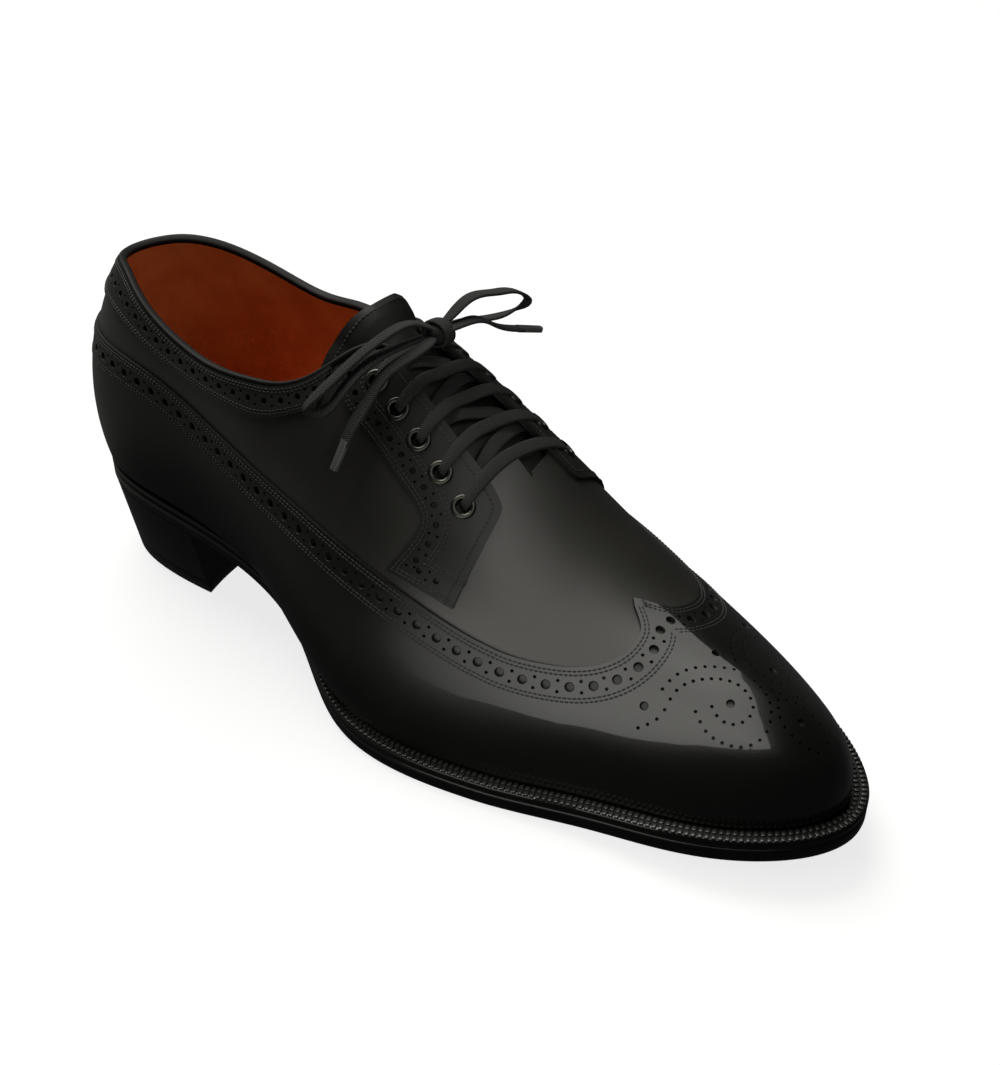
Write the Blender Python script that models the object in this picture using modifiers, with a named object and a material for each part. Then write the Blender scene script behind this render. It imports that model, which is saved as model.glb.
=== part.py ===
"""Long-wing brogue derby for the left foot, made piece by piece on its last.

Tables are in millimetres, with x measured forward from the heel's back and y outward from the heel's
middle line. The finished part is in metres: +X to the toe, +Y to the foot's outer side, +Z up, and the
shoe stands on z = 0 with its origin under the middle of its box.
"""

from collections import namedtuple

import bmesh
import bpy
import numpy as np
from mathutils import Vector

MM = 0.001
GAP = 0.3
ORIGIN = np.array([152.5, -0.4, 0.0])

SOLE_THICK = 5.0
WELT_THICK = 3.0
WELT_INNER = 7.0
UPPER_WALL = 2.0
OVERLAY_LIFT = 0.6
OVERLAY_THICK = 1.1
INSOLE_STEP = 2.6
INSOLE_TOP = 11.0
TONGUE_THICK = 1.6
EYELET_BORE, EYELET_BARREL, EYELET_FLANGE = 1.8, 2.3, 3.9
EYELET_HOLE = 2.8
LACE_WIDTH, LACE_THICK = 5.4, 1.2
CORD_RADIUS = 1.5

# One row for each section of the last, round from the heel's back along the inner side to the toe and home.
# x, y: the feather line. ridge: where the section ends on the top ridge. lean: degrees outward at the feather.
# low, high: reach of the section's lower and upper curve. edge: how far the sole stands out past the feather.
Station = namedtuple("Station", "name x y ridge lean low high edge segments")
STATIONS = [
    Station("heel_back", 6.0, 0.0, 36, 13, 41, 20, 0.8, 4),
    Station("heel_in", 17.0, -21.5, 40, 13, 41, 20, 0.8, 4),
    Station("seat_in", 42.0, -30.0, 55, 11, 42, 25, 0.8, 3),
    Station("breast_in", 72.0, -30.0, 78, 14, 41, 28, 0.6, 3),
    Station("waist_in", 111.0, -34.5, 108, 32, 39, 26, -1.0, 6),
    Station("arch_in", 148.0, -49.5, 140, 22, 35, 26, 3.2, 7),
    Station("ball_in", 196.0, -48.0, 184, 10, 27, 31, 5.0, 4),
    Station("tread_in", 237.0, -38.0, 222, 4, 19, 27, 5.5, 5),
    Station("toe_in", 276.0, -28.5, 250, 1, 17, 22, 5.5, 6),
    Station("toe_tip", 297.5, -6.5, 264, 2, 19, 19, 5.5, 6),
    Station("toe_out", 278.0, 22.0, 250, 1, 17, 20, 5.5, 5),
    Station("tread_out", 237.0, 42.0, 222, 6, 22, 30, 5.5, 4),
    Station("ball_out", 186.0, 50.0, 184, 10, 29, 33, 5.0, 7),
    Station("arch_out", 140.0, 38.0, 140, 14, 39, 26, 3.0, 6),
    Station("waist_out", 105.0, 31.0, 108, 14, 40, 26, 2.0, 3),
    Station("breast_out", 72.0, 30.0, 78, 11, 41, 28, 0.8, 3),
    Station("seat_out", 42.0, 30.0, 55, 10, 42, 25, 0.8, 4),
    Station("heel_out", 17.0, 21.5, 40, 12, 41, 20, 0.8, 4),
]

# The last's top ridge from over the heel to the toe: x, y, z.
RIDGE = [
    (36, 0.0, 124.0),
    (60, 0.0, 130.0),
    (90, 0.0, 130.0),
    (120, 0.0, 123.0),
    (150, 0.0, 110.0),
    (180, -0.5, 88.5),
    (210, -2.5, 65.0),
    (240, -5.0, 52.5),
    (264, -6.0, 48.0),
]

# The sole's underside from heel to toe: x, z. It is flat on the ground under the ball of the foot.
UNDERSIDE = [
    (0, 30.0),
    (30, 29.5),
    (60, 27.5),
    (90, 20.5),
    (120, 9.5),
    (150, 1.5),
    (180, 0.0),
    (205, 0.0),
    (235, 2.8),
    (265, 6.8),
    (305, 11.0),
]

# Lines on the upper. along: x of the section's foot on the feather line. up: share of the section's height.
Mark = namedtuple("Mark", "along up")
TOPLINE = [
    Mark(6, 0.700),
    Mark(20, 0.695),
    Mark(49, 0.582),
    Mark(80, 0.531),
    Mark(103, 0.590),
    Mark(118, 0.648),
    Mark(129, 0.735),
    Mark(138, 0.850),
    Mark(145, 0.902),
    Mark(153, 0.903),
    Mark(176, 0.870),
    Mark(188, 0.866),
    Mark(191, 0.890),
    Mark(193, 0.935),
    Mark(194.5, 1.000),
]
COLLAR_BAND_LOW = [
    Mark(6, 0.575),
    Mark(24, 0.552),
    Mark(66, 0.452),
    Mark(97, 0.494),
    Mark(117, 0.565),
    Mark(131, 0.650),
]
WING_SEAM = [
    Mark(6, 0.425),
    Mark(24, 0.418),
    Mark(55, 0.389),
    Mark(80, 0.372),
    Mark(108, 0.402),
    Mark(134, 0.428),
    Mark(154, 0.432),
    Mark(172, 0.433),
    Mark(188, 0.437),
    Mark(204, 0.460),
    Mark(217, 0.510),
    Mark(230, 0.594),
    Mark(239, 0.699),
    Mark(245, 0.828),
    Mark(246, 0.929),
    Mark(241, 1.000),
]

OUTER_AHEAD = 8.0
WING_OUTER_SHIFT = 5.0
WING_PEAK = 226.5
WING_FOOT_FRONT, WING_FOOT_UP = 262.0, 0.012
WING_BOW_FROM = 196.0
WING_TOE_LIFT = 0.85

# The facing: each row runs from its inner edge at the throat to its outer edge on the quarter.
FacingRow = namedtuple("FacingRow", "name inner_along inner_up outer_along outer_up")
FACING = [
    FacingRow("collar", 144.0, 0.880, 132.5, 0.752),
    FacingRow("top_eyelet", 152.0, 0.888, 139.7, 0.700),
    FacingRow("second", 163.0, 0.873, 151.0, 0.680),
    FacingRow("third", 176.0, 0.857, 161.0, 0.660),
    FacingRow("lowest_eyelet", 188.0, 0.848, 169.0, 0.643),
    FacingRow("corner", 193.5, 0.828, 173.0, 0.620),
    FacingRow("front", 194.0, 0.785, 172.3, 0.575),
    FacingRow("tail", 192.0, 0.669, 169.5, 0.520),
    FacingRow("foot", 188.0, 0.494, 166.2, 0.469),
]
EYELET_PAIRS = 5
EYELET_TOP = Mark(147.0, 0.800)
EYELET_LOW = Mark(183.8, 0.730)

# The heel: the bottom's back, half width and front corner, and how far its front is hollowed.
HEEL_BOTTOM_BACK, HEEL_BOTTOM_SIDE = 10.4, 27.3
HEEL_CORNER_TOP, HEEL_CORNER_BOTTOM = 63.0, 66.0
HEEL_HOLLOW = 4.0
HEEL_INSET = 0.4

LEATHER_BLACK = (0.012, 0.012, 0.011)
EDGE_BLACK = (0.008, 0.008, 0.008)
LINING_TAN = (0.42, 0.12, 0.03)
LACE_BLACK = (0.018, 0.018, 0.019)
GUNMETAL = (0.10, 0.10, 0.095)


def spline(knots, values, closed=False):
    """A cubic curve through the values, natural at its ends or running round in a ring."""
    knots = np.asarray(knots, float)
    values = np.asarray(values, float).reshape(len(knots), -1)
    step = np.diff(knots)
    slope = np.diff(values, axis=0) / step[:, None]
    count = len(knots) - 1 if closed else len(knots)
    matrix = np.zeros((count, count))
    right = np.zeros((count, values.shape[1]))
    for i in range(count):
        if not closed and i in (0, count - 1):
            matrix[i, i] = 1.0
            continue
        matrix[i, i - 1] += step[i - 1]
        matrix[i, i] += 2 * (step[i - 1] + step[i])
        matrix[i, (i + 1) % count] += step[i]
        right[i] = 6 * (slope[i] - slope[i - 1])
    bend = np.linalg.solve(matrix, right)
    if closed:
        bend = np.vstack([bend, bend[:1]])

    def at(where):
        where = np.asarray(where, float)
        if closed:
            where = knots[0] + np.mod(where - knots[0], knots[-1] - knots[0])
        k = np.clip(np.searchsorted(knots, where, side="right") - 1, 0, len(step) - 1)
        h = step[k][..., None]
        after = (where - knots[k])[..., None]
        before = h - after
        return (
            (bend[k] * before**3 + bend[k + 1] * after**3) / (6 * h)
            + (values[k] / h - bend[k] * h / 6) * before
            + (values[k + 1] / h - bend[k + 1] * h / 6) * after
        )

    return at


COLUMNS = np.array([row[1:8] for row in STATIONS], float)
STEPS = np.linalg.norm(np.diff(np.vstack([COLUMNS[:, :2], COLUMNS[:1, :2]]), axis=0), axis=1)
STATION_T = np.concatenate([[0.0], np.cumsum(STEPS)])
GIRTH = STATION_T[-1]
TOE_T = STATION_T[[row.name for row in STATIONS].index("toe_tip")]
station_row = spline(STATION_T, np.vstack([COLUMNS, COLUMNS[:1]]), closed=True)
ridge_yz = spline([row[0] for row in RIDGE], [row[1:] for row in RIDGE])
underside_z = spline([row[0] for row in UNDERSIDE], [row[1] for row in UNDERSIDE])


def underside(x):
    return np.maximum(underside_z(x)[..., 0], 0.0)


def outward(t):
    """Unit vector in plan, square to the feather line."""
    run = station_row(t + 0.5)[..., :2] - station_row(t - 0.5)[..., :2]
    run /= np.linalg.norm(run, axis=-1, keepdims=True)
    return np.stack([run[..., 1], -run[..., 0]], -1)


def feather(t):
    row = station_row(t)
    z = underside(row[..., 0]) + SOLE_THICK + WELT_THICK + GAP
    return np.concatenate([row[..., :2], z[..., None]], -1)


def ridge(x):
    yz = ridge_yz(x)
    return np.stack([x, yz[..., 0], yz[..., 1]], -1)


def last(t, v):
    """The last's surface: t round the feather line, v up each section from the feather to the ridge."""
    row = station_row(t)
    foot = feather(t)
    x = np.clip(row[..., 2], RIDGE[0][0], RIDGE[-1][0])
    top = ridge(x)
    fall = (ridge(x + 0.5) - ridge(x - 0.5))[..., 2]
    lean = np.radians(row[..., 3])
    plan = outward(t) * np.sin(lean)[..., None]
    rise = np.concatenate([plan, np.cos(lean)[..., None]], -1)
    reach = foot[..., :2] - top[..., :2]
    reach /= np.linalg.norm(reach, axis=-1, keepdims=True)
    crown = np.concatenate([reach, (fall * reach[..., 0])[..., None]], -1)
    low = foot + row[..., 4:5] * rise
    high = top + row[..., 5:6] * crown
    v = np.asarray(v, float)[..., None]
    w = 1 - v
    return w**3 * foot + 3 * w * w * v * low + 3 * w * v * v * high + v**3 * top


NEAR_RIDGE = 0.98


def skin(t, v, offset=0.0):
    """A point of the last moved out along the surface's normal."""
    t, v = np.broadcast_arrays(np.asarray(t, float), np.asarray(v, float))
    inner = np.clip(v, 0.004, NEAR_RIDGE)
    run = last(t + 0.5, inner) - last(t - 0.5, inner)
    rise = last(t, inner + 0.004) - last(t, inner - 0.004)
    normal = np.cross(run, rise)
    normal /= np.linalg.norm(normal, axis=-1, keepdims=True)
    x = np.clip(station_row(t)[..., 2], RIDGE[0][0], RIDGE[-1][0])
    fall = (ridge(x + 0.5) - ridge(x - 0.5))[..., 2]
    crown = np.stack([-fall, np.zeros_like(fall), np.ones_like(fall)], -1)
    crown /= np.linalg.norm(crown, axis=-1, keepdims=True)
    share = np.clip((v - NEAR_RIDGE) / (1 - NEAR_RIDGE), 0, 1)[..., None]
    normal = normal + (crown - normal) * share
    normal /= np.linalg.norm(normal, axis=-1, keepdims=True)
    return last(t, v) + normal * np.asarray(offset, float)[..., None]


DENSE_IN = np.linspace(0.0, TOE_T, 900)
DENSE_OUT = np.linspace(GIRTH, TOE_T, 900)
INNER, OUTER = -1, 1


def t_along(side, along):
    """Where the feather line on one side of the foot has this x."""
    dense = DENSE_IN if side == INNER else DENSE_OUT
    return np.interp(along, station_row(dense)[:, 0], dense)


def t_ridge(side, x):
    """The section on one side of the foot that ends at this x on the ridge."""
    dense = DENSE_IN if side == INNER else DENSE_OUT
    return np.interp(x, station_row(dense)[:, 2], dense)


RIDGE_X = np.linspace(30.0, 270.0, 481)


def outer_ahead(x):
    """How far the outer side's marks at the throat lie ahead of the inner side's, by x on the ridge."""
    return OUTER_AHEAD * np.clip((x - 100) / 50, 0, 1) * np.clip((200 - x) / 10, 0, 1)


def outer_partner(x):
    return np.interp(x, RIDGE_X - outer_ahead(RIDGE_X), RIDGE_X)


def t_mark(side, along):
    """The section for a mark given on the inner side, or its partner straight across on the outer side."""
    inner = t_along(INNER, along)
    return inner if side == INNER else t_ridge(OUTER, outer_partner(station_row(inner)[..., 2]))


def along_of(t):
    """The mark's along for any section, the outer ones by their partners on the inner side."""
    t = np.mod(t, GIRTH)
    x = station_row(t)[..., 2]
    partner = np.where(t > TOE_T, t_ridge(INNER, x - outer_ahead(x)), t)
    return station_row(partner)[..., 0]


def curve_of(marks):
    """A smooth line through marks that run forward, as the share of height at each along."""
    line = spline([mark.along for mark in marks], [mark.up for mark in marks])
    low, high = marks[0].along, marks[-1].along
    return lambda along: np.clip(line(np.clip(along, low, high))[..., 0], 0.0, 1.0)


topline = curve_of(TOPLINE)
band_low = curve_of(COLLAR_BAND_LOW)
wing_side = curve_of([mark for mark in WING_SEAM if mark.along < 232])


def material(name, colour, roughness, metallic=0.0):
    made = bpy.data.materials.new(name)
    made.use_nodes = True
    shader = made.node_tree.nodes["Principled BSDF"]
    shader.inputs["Base Color"].default_value = (*colour, 1.0)
    shader.inputs["Roughness"].default_value = roughness
    shader.inputs["Metallic"].default_value = metallic
    made.diffuse_color = (*colour, 1.0)
    return made


def to_metres(points):
    return (np.asarray(points, float) - ORIGIN) * MM


def add_mesh(name, bm, look, collection):
    mesh = bpy.data.meshes.new(name)
    bm.to_mesh(mesh)
    bm.free()
    mesh.shade_smooth()
    made = bpy.data.objects.new(name, mesh)
    made.data.materials.append(look)
    collection.objects.link(made)
    return made


def sheet(columns, rows, place):
    """A grid laid on the last: place turns shares across and up into points."""
    bm = bmesh.new()
    bmesh.ops.create_grid(bm, x_segments=columns, y_segments=rows, size=0.5)
    share = np.array([vert.co[:2] for vert in bm.verts]) + 0.5
    for vert, point in zip(bm.verts, to_metres(place(share[:, 0], share[:, 1]))):
        vert.co = point
    bmesh.ops.remove_doubles(bm, verts=bm.verts, dist=0.05 * MM)
    return bm


def shell(name, bm, thick, offset, look, collection):
    made = add_mesh(name, bm, look, collection)
    wall = made.modifiers.new("wall", "SOLIDIFY")
    wall.thickness = thick * MM
    wall.offset = offset
    return made


def block(columns, rows, levels, place):
    """A grid raised through several levels: place turns shares and the level's number into points."""
    bm = bmesh.new()
    bmesh.ops.create_grid(bm, x_segments=columns, y_segments=rows, size=0.5)
    lid = list(bm.faces)
    for _ in range(levels):
        seams = {edge for face in lid for edge in face.edges}
        raised = bmesh.ops.extrude_face_region(bm, geom=lid + list(seams))["geom"]
        lid = [item for item in raised if isinstance(item, bmesh.types.BMFace)]
        corners = [item for item in raised if isinstance(item, bmesh.types.BMVert)]
        bmesh.ops.translate(bm, verts=corners, vec=(0, 0, 1))
    keys = np.array([vert.co[:] for vert in bm.verts])
    spots = place(keys[:, 0] + 0.5, keys[:, 1] + 0.5, np.rint(keys[:, 2]).astype(int))
    for vert, point in zip(bm.verts, to_metres(spots)):
        vert.co = point
    bmesh.ops.remove_doubles(bm, verts=bm.verts, dist=0.02 * MM)
    bmesh.ops.recalc_face_normals(bm, faces=bm.faces)
    return bm


def outline(offset):
    """The feather line moved out in plan: two functions of x, for the inner and the outer side, and its ends."""
    t = np.linspace(0.0, GIRTH, 1600, endpoint=False)
    row = station_row(t)
    width = row[:, 6] if offset is None else np.full(len(t), offset)
    plan = row[:, :2] + outward(t) * width[:, None]
    back, front = plan[:, 0].argmin(), plan[:, 0].argmax()
    ring = np.roll(plan, -back, axis=0)
    tip = (front - back) % len(t)
    inner, outer = ring[: tip + 1], ring[tip:][::-1]
    outer = np.vstack([ring[:1], outer])
    return (
        lambda x: np.interp(x, inner[:, 0], inner[:, 1]),
        lambda x: np.interp(x, outer[:, 0], outer[:, 1]),
        plan[back, 0],
        plan[front, 0],
    )


def plate_points(side_in, side_out, back, front, lengthwise, across):
    """Points of a foot-shaped layer, closer together towards its round ends."""
    x = back + (front - back) * (1 - np.cos(np.pi * lengthwise)) / 2
    return x, side_in(x) + (side_out(x) - side_in(x)) * across


def build_outsole(look, collection):
    edge = outline(None)

    def place(u, w, level):
        x, y = plate_points(*edge, u, w)
        return np.stack([x, y, underside(x) + level * SOLE_THICK], -1)

    return add_mesh("outsole", block(38, 3, 1, place), look, collection)


def build_insole(look, collection):
    wide, narrow = outline(-INSOLE_STEP), outline(-WELT_INNER - 2 * GAP)
    bottom, ledge = SOLE_THICK + GAP, SOLE_THICK + WELT_THICK + GAP
    heights = np.array([bottom, ledge, ledge, INSOLE_TOP])

    def place(u, w, level):
        upper = plate_points(*wide, u, w)
        lower = plate_points(*narrow, u, w)
        x = np.where(level < 2, lower[0], upper[0])
        y = np.where(level < 2, lower[1], upper[1])
        return np.stack([x, y, underside(x) + heights[level]], -1)

    return add_mesh("insole", block(26, 2, 3, place), look, collection)


def build_welt(look, collection):
    rings = ring_t()
    columns = len(rings) - 1
    bm = bmesh.new()
    bmesh.ops.create_grid(bm, x_segments=columns, y_segments=4, size=0.5)
    share = np.array([vert.co[:2] for vert in bm.verts]) + 0.5
    t = rings[np.rint(share[:, 0] * columns).astype(int)]
    corner = np.rint(share[:, 1] * 4).astype(int) % 4
    row = station_row(t)
    width = np.where(np.isin(corner, (0, 1)), row[:, 6], -WELT_INNER)
    plan = row[:, :2] + outward(t) * width[:, None]
    top = np.isin(corner, (1, 2))
    z = underside(plan[:, 0]) + SOLE_THICK + np.where(top, WELT_THICK, GAP)
    spots = np.concatenate([plan, z[:, None]], -1)
    for vert, point in zip(bm.verts, to_metres(spots)):
        vert.co = point
    bmesh.ops.remove_doubles(bm, verts=bm.verts, dist=0.01 * MM)
    bmesh.ops.recalc_face_normals(bm, faces=bm.faces)
    return add_mesh("welt", bm, look, collection)


def build_heel(look, collection):
    side_in, side_out, back, _ = outline(None)

    def place(u, w, level):
        share = level / 2
        seat_back = back + HEEL_INSET
        near = HEEL_BOTTOM_BACK + (seat_back - HEEL_BOTTOM_BACK) * share
        corner = HEEL_CORNER_BOTTOM + (HEEL_CORNER_TOP - HEEL_CORNER_BOTTOM) * share
        front = corner - HEEL_HOLLOW * (1 - (2 * w - 1) ** 2)
        x = near + (front - near) * (1 - np.cos(np.pi / 2 * u))
        seat_x = seat_back + (x - near) * (HEEL_CORNER_TOP - seat_back) / (corner - near)
        widest = np.maximum(side_out(HEEL_CORNER_TOP), -side_in(HEEL_CORNER_TOP))
        taper = (HEEL_BOTTOM_SIDE + (widest - HEEL_INSET - HEEL_BOTTOM_SIDE) * share) / widest
        y_in, y_out = side_in(seat_x) * taper, side_out(seat_x) * taper
        y = y_in + (y_out - y_in) * w
        return np.stack([x, y, (underside(x) - GAP) * share], -1)

    return add_mesh("heel", block(10, 4, 2, place), look, collection)


def ring_t():
    """Section positions round the whole shoe, closer together at the heel and the toe."""
    spots = [0.0]
    for k, row in enumerate(STATIONS):
        share = np.arange(1, row.segments + 1) / row.segments
        spots.extend(STATION_T[k] + share * STEPS[k])
    return np.array(spots)


def build_upper(look, collection):
    rings = ring_t()
    columns = len(rings) - 1

    def place(u, w):
        t = rings[np.rint(u * columns).astype(int)]
        return skin(t, w * topline(along_of(t)))

    return shell("upper", sheet(columns, 9, place), UPPER_WALL, -1.0, look, collection)


def seam_points(marks, count):
    """Evenly spread points of a line on the upper, as along and up."""
    rows = np.array(marks, float)
    gauge = rows * [1.0, 90.0]
    reach = np.concatenate([[0], np.cumsum(np.linalg.norm(np.diff(gauge, axis=0), axis=1))])
    return spline(reach, rows)(np.linspace(0, reach[-1], count))


def build_wing_cap(look, collection):
    """The toe cap with its wings, which run back along both sides and meet behind the heel."""
    names = [row.name for row in STATIONS]
    ball = sum(row.segments for row in STATIONS[: names.index("ball_in")])
    bow_columns, toe_columns, rows = 12, 8, 6
    half = ball + bow_columns + toe_columns
    bow_marks = [mark for mark in WING_SEAM if mark.along > WING_BOW_FROM]
    start = Mark(WING_BOW_FROM, float(wing_side(WING_BOW_FROM)))
    bow = seam_points([start] + bow_marks, bow_columns + 1)[1:]

    def shift(along, side):
        return WING_OUTER_SHIFT * np.clip((along - 180) / 40, 0, 1) * (side == OUTER)

    def lines(side):
        rear = ring_t()[:: 1 if side == INNER else -1][: ball + 1]
        along = along_of(rear)
        along[0] = WING_SEAM[0].along
        bow_t = t_mark(side, bow[:, 0] + shift(bow[:, 0], side))
        bow_t[-1] = t_ridge(side, WING_PEAK)
        foot = np.linspace(rear[-1], t_along(side, WING_FOOT_FRONT), bow_columns + 1)[1:]
        share = np.arange(1, toe_columns + 1) / toe_columns
        crest = t_ridge(side, WING_PEAK + (RIDGE[-1][0] - WING_PEAK) * share)
        crest[-1] = TOE_T
        tip = foot[-1] + (TOE_T - foot[-1]) * share
        foot_t = np.concatenate([rear, foot, tip])
        top_t = np.concatenate([rear, bow_t, crest])
        top_v = np.concatenate([wing_side(along - shift(along, side)), bow[:, 1], np.ones(toe_columns)])
        return foot_t, top_t, np.clip(top_v, 0, 1)

    inner, outer = lines(INNER), lines(OUTER)

    def place(u, w):
        k = np.rint(u * 2 * half).astype(int)
        near = k <= half
        j = np.where(near, k, 2 * half - k)
        foot_t, top_t, top_v = (np.where(near, a[j], b[j]) for a, b in zip(inner, outer))
        t = foot_t + (top_t - foot_t) * w
        lift = OVERLAY_LIFT + WING_TOE_LIFT * np.clip((j - ball) / bow_columns, 0, 1)
        return skin(t, WING_FOOT_UP + (top_v - WING_FOOT_UP) * w, lift)

    return shell("wing_cap", sheet(2 * half, rows, place), OVERLAY_THICK, 1.0, look, collection)


def build_collar_band(look, collection):
    ends = COLLAR_BAND_LOW[-1].along
    start, stop = t_mark(OUTER, ends), t_mark(INNER, ends) + GIRTH
    columns = 34

    def place(u, w):
        t = start + (stop - start) * u
        along = along_of(t)
        top = topline(along) - 0.012
        return skin(t, band_low(along) + (top - band_low(along)) * w, OVERLAY_LIFT)

    return shell("collar_band", sheet(columns, 2, place), OVERLAY_THICK, 1.0, look, collection)


def build_facing(name, side, look, collection):
    rows = np.array([row[1:] for row in FACING], float)
    edges = spline(np.arange(len(rows)), rows)
    columns, count = 5, 10

    def place(u, w):
        row = edges(w * (len(rows) - 1))
        across = u if side == INNER else 1 - u
        inner = t_mark(side, row[:, 0])
        outer = t_mark(side, row[:, 2])
        t = outer + (inner - outer) * across
        up = row[:, 3] + (row[:, 1] - row[:, 3]) * across
        return skin(t, up, OVERLAY_LIFT)

    bm = sheet(columns, count, place)
    bmesh.ops.reverse_faces(bm, faces=bm.faces)
    return shell(name, bm, OVERLAY_THICK, 1.0, look, collection)


# The tongue from under the vamp to its free end. x: on the ridge. in_up, out_up: its edges on both sides.
# depth_in, depth_mid, depth_out: how far its outer face lies below the last there, and above it if negative.
TongueRow = namedtuple("TongueRow", "x in_up out_up depth_in depth_mid depth_out")
TONGUE = [
    TongueRow(126.5, 0.785, 0.86, 2.5, -0.5, -3.2),
    TongueRow(128.5, 0.785, 0.86, 3.0, -0.4, -2.8),
    TongueRow(131.0, 0.78, 0.86, 3.2, 0.0, -1.6),
    TongueRow(134.0, 0.78, 0.85, 3.2, 0.8, 0.2),
    TongueRow(137.0, 0.78, 0.86, 3.2, 1.8, 3.0),
    TongueRow(140.0, 0.78, 0.82, 3.2, 2.4, 3.2),
    TongueRow(150.0, 0.775, 0.775, 3.2, 3.2, 3.2),
    TongueRow(206.0, 0.80, 0.80, 3.4, 3.4, 3.4),
]


def build_tongue(look, collection):
    rows = np.array(TONGUE)

    def place(u, w):
        x = rows[0, 0] + (rows[-1, 0] - rows[0, 0]) * w**1.3
        in_up, out_up, deep_in, deep_mid, deep_out = (np.interp(x, rows[:, 0], column) for column in rows.T[1:])
        across = 1 - 2 * u
        inner = across >= 0
        up = 1 - np.abs(across) * (1 - np.where(inner, in_up, out_up))
        deep = deep_mid + (np.where(inner, deep_in, deep_out) - deep_mid) * np.clip(1.5 * np.abs(across), 0, 1) ** 2
        t = np.where(inner, t_ridge(INNER, x), t_ridge(OUTER, x))
        return skin(t, up, -deep)

    bm = sheet(8, 16, place)
    bmesh.ops.reverse_faces(bm, faces=bm.faces)
    return shell("tongue", bm, TONGUE_THICK, -1.0, look, collection)


EyeletPlace = namedtuple("EyeletPlace", "name centre out t up")


def eyelet_places():
    """Where each eyelet sits on the last and which way it faces, each side from the top down."""
    places = []
    for side, label in ((INNER, "inner"), (OUTER, "outer")):
        for k in range(EYELET_PAIRS):
            share = k / (EYELET_PAIRS - 1)
            along = EYELET_TOP.along + (EYELET_LOW.along - EYELET_TOP.along) * share
            up = EYELET_TOP.up + (EYELET_LOW.up - EYELET_TOP.up) * share
            t = t_mark(side, along)
            centre = skin(t, up)
            out = skin(t, up, 1.0) - centre
            places.append(EyeletPlace(f"eyelet_{label}_{k + 1}", centre, out, t, up))
    return places


def turned(profile, steps):
    """A bmesh of a closed profile of radius and height, turned about Z."""
    bm = bmesh.new()
    ring = [bm.verts.new((radius * MM, 0, height * MM)) for radius, height in profile]
    edges = [bm.edges.new((ring[i], ring[(i + 1) % len(ring)])) for i in range(len(ring))]
    bmesh.ops.spin(
        bm, geom=ring + edges, cent=(0, 0, 0), axis=(0, 0, 1), angle=2 * np.pi, steps=steps, use_merge=True
    )
    bmesh.ops.recalc_face_normals(bm, faces=bm.faces)
    return bm


def stand(made, spot):
    """Places a turned piece with its axis along the surface's outward direction."""
    made.location = Vector(to_metres(spot.centre))
    made.rotation_euler = Vector(spot.out).to_track_quat("Z", "Y").to_euler()


def build_eyelets(look, collection, cutters):
    seat = OVERLAY_LIFT + OVERLAY_THICK + 0.3
    profile = [
        (EYELET_BORE, seat + 0.75),
        (EYELET_BORE, -UPPER_WALL - 0.1),
        (EYELET_BARREL, -UPPER_WALL - 0.1),
        (EYELET_BARREL, seat),
        (EYELET_FLANGE, seat),
        (EYELET_FLANGE - 0.5, seat + 0.75),
    ]
    for spot in eyelet_places():
        stand(add_mesh(spot.name, turned(profile, 8), look, collection), spot)
        bm = bmesh.new()
        size = EYELET_HOLE * MM
        bmesh.ops.create_cone(bm, cap_ends=True, segments=8, radius1=size, radius2=size, depth=14 * MM)
        cutter = add_mesh(spot.name + "_hole", bm, look, cutters)
        cutter.hide_render = True
        cutter.display_type = "WIRE"
        stand(cutter, spot)


def cut_holes(made, cutters):
    cut = made.modifiers.new("eyelet_holes", "BOOLEAN")
    cut.operation = "DIFFERENCE"
    cut.operand_type = "COLLECTION"
    cut.collection = cutters


def strap(name, path, across, widths, look, collection):
    """A flat lace along a path: across points along its width, and widths has one value for each point."""
    path, across = np.asarray(path, float), np.asarray(across, float)
    run = np.gradient(path, axis=0)
    face = np.cross(run, across)
    face /= np.linalg.norm(face, axis=1, keepdims=True)
    bm = bmesh.new()
    bmesh.ops.create_grid(bm, x_segments=len(path) - 1, y_segments=4, size=0.5)
    share = np.array([vert.co[:2] for vert in bm.verts]) + 0.5
    k = np.rint(share[:, 0] * (len(path) - 1)).astype(int)
    corner = np.rint(share[:, 1] * 4).astype(int) % 4
    half = np.asarray(widths)[k] / 2 * np.where(np.isin(corner, (0, 3)), -1, 1)
    lift = LACE_THICK / 2 * np.where(corner < 2, -1, 1)
    spots = path[k] + across[k] * half[:, None] + face[k] * lift[:, None]
    for vert, point in zip(bm.verts, to_metres(spots)):
        vert.co = point
    bmesh.ops.remove_doubles(bm, verts=bm.verts, dist=0.01 * MM)
    rims = [edge for edge in bm.edges if edge.is_boundary]
    bmesh.ops.holes_fill(bm, edges=rims, sides=4)
    bmesh.ops.recalc_face_normals(bm, faces=bm.faces)
    return add_mesh(name, bm, look, collection)


# Half of a lace bar, from inside its eyelet to the ridge: share of the way up, height over the last and width.
BarPoint = namedtuple("BarPoint", "share height width")
BAR_HALF = [
    BarPoint(0.00, 0.6, 2.2),
    BarPoint(0.00, 2.6, 2.2),
    BarPoint(0.04, 3.8, 2.4),
    BarPoint(0.15, 4.1, 3.4),
    BarPoint(0.35, 3.6, 5.2),
    BarPoint(0.65, 2.8, 5.4),
]
BAR_CREST = BarPoint(1.00, 2.4, 5.4)


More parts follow.
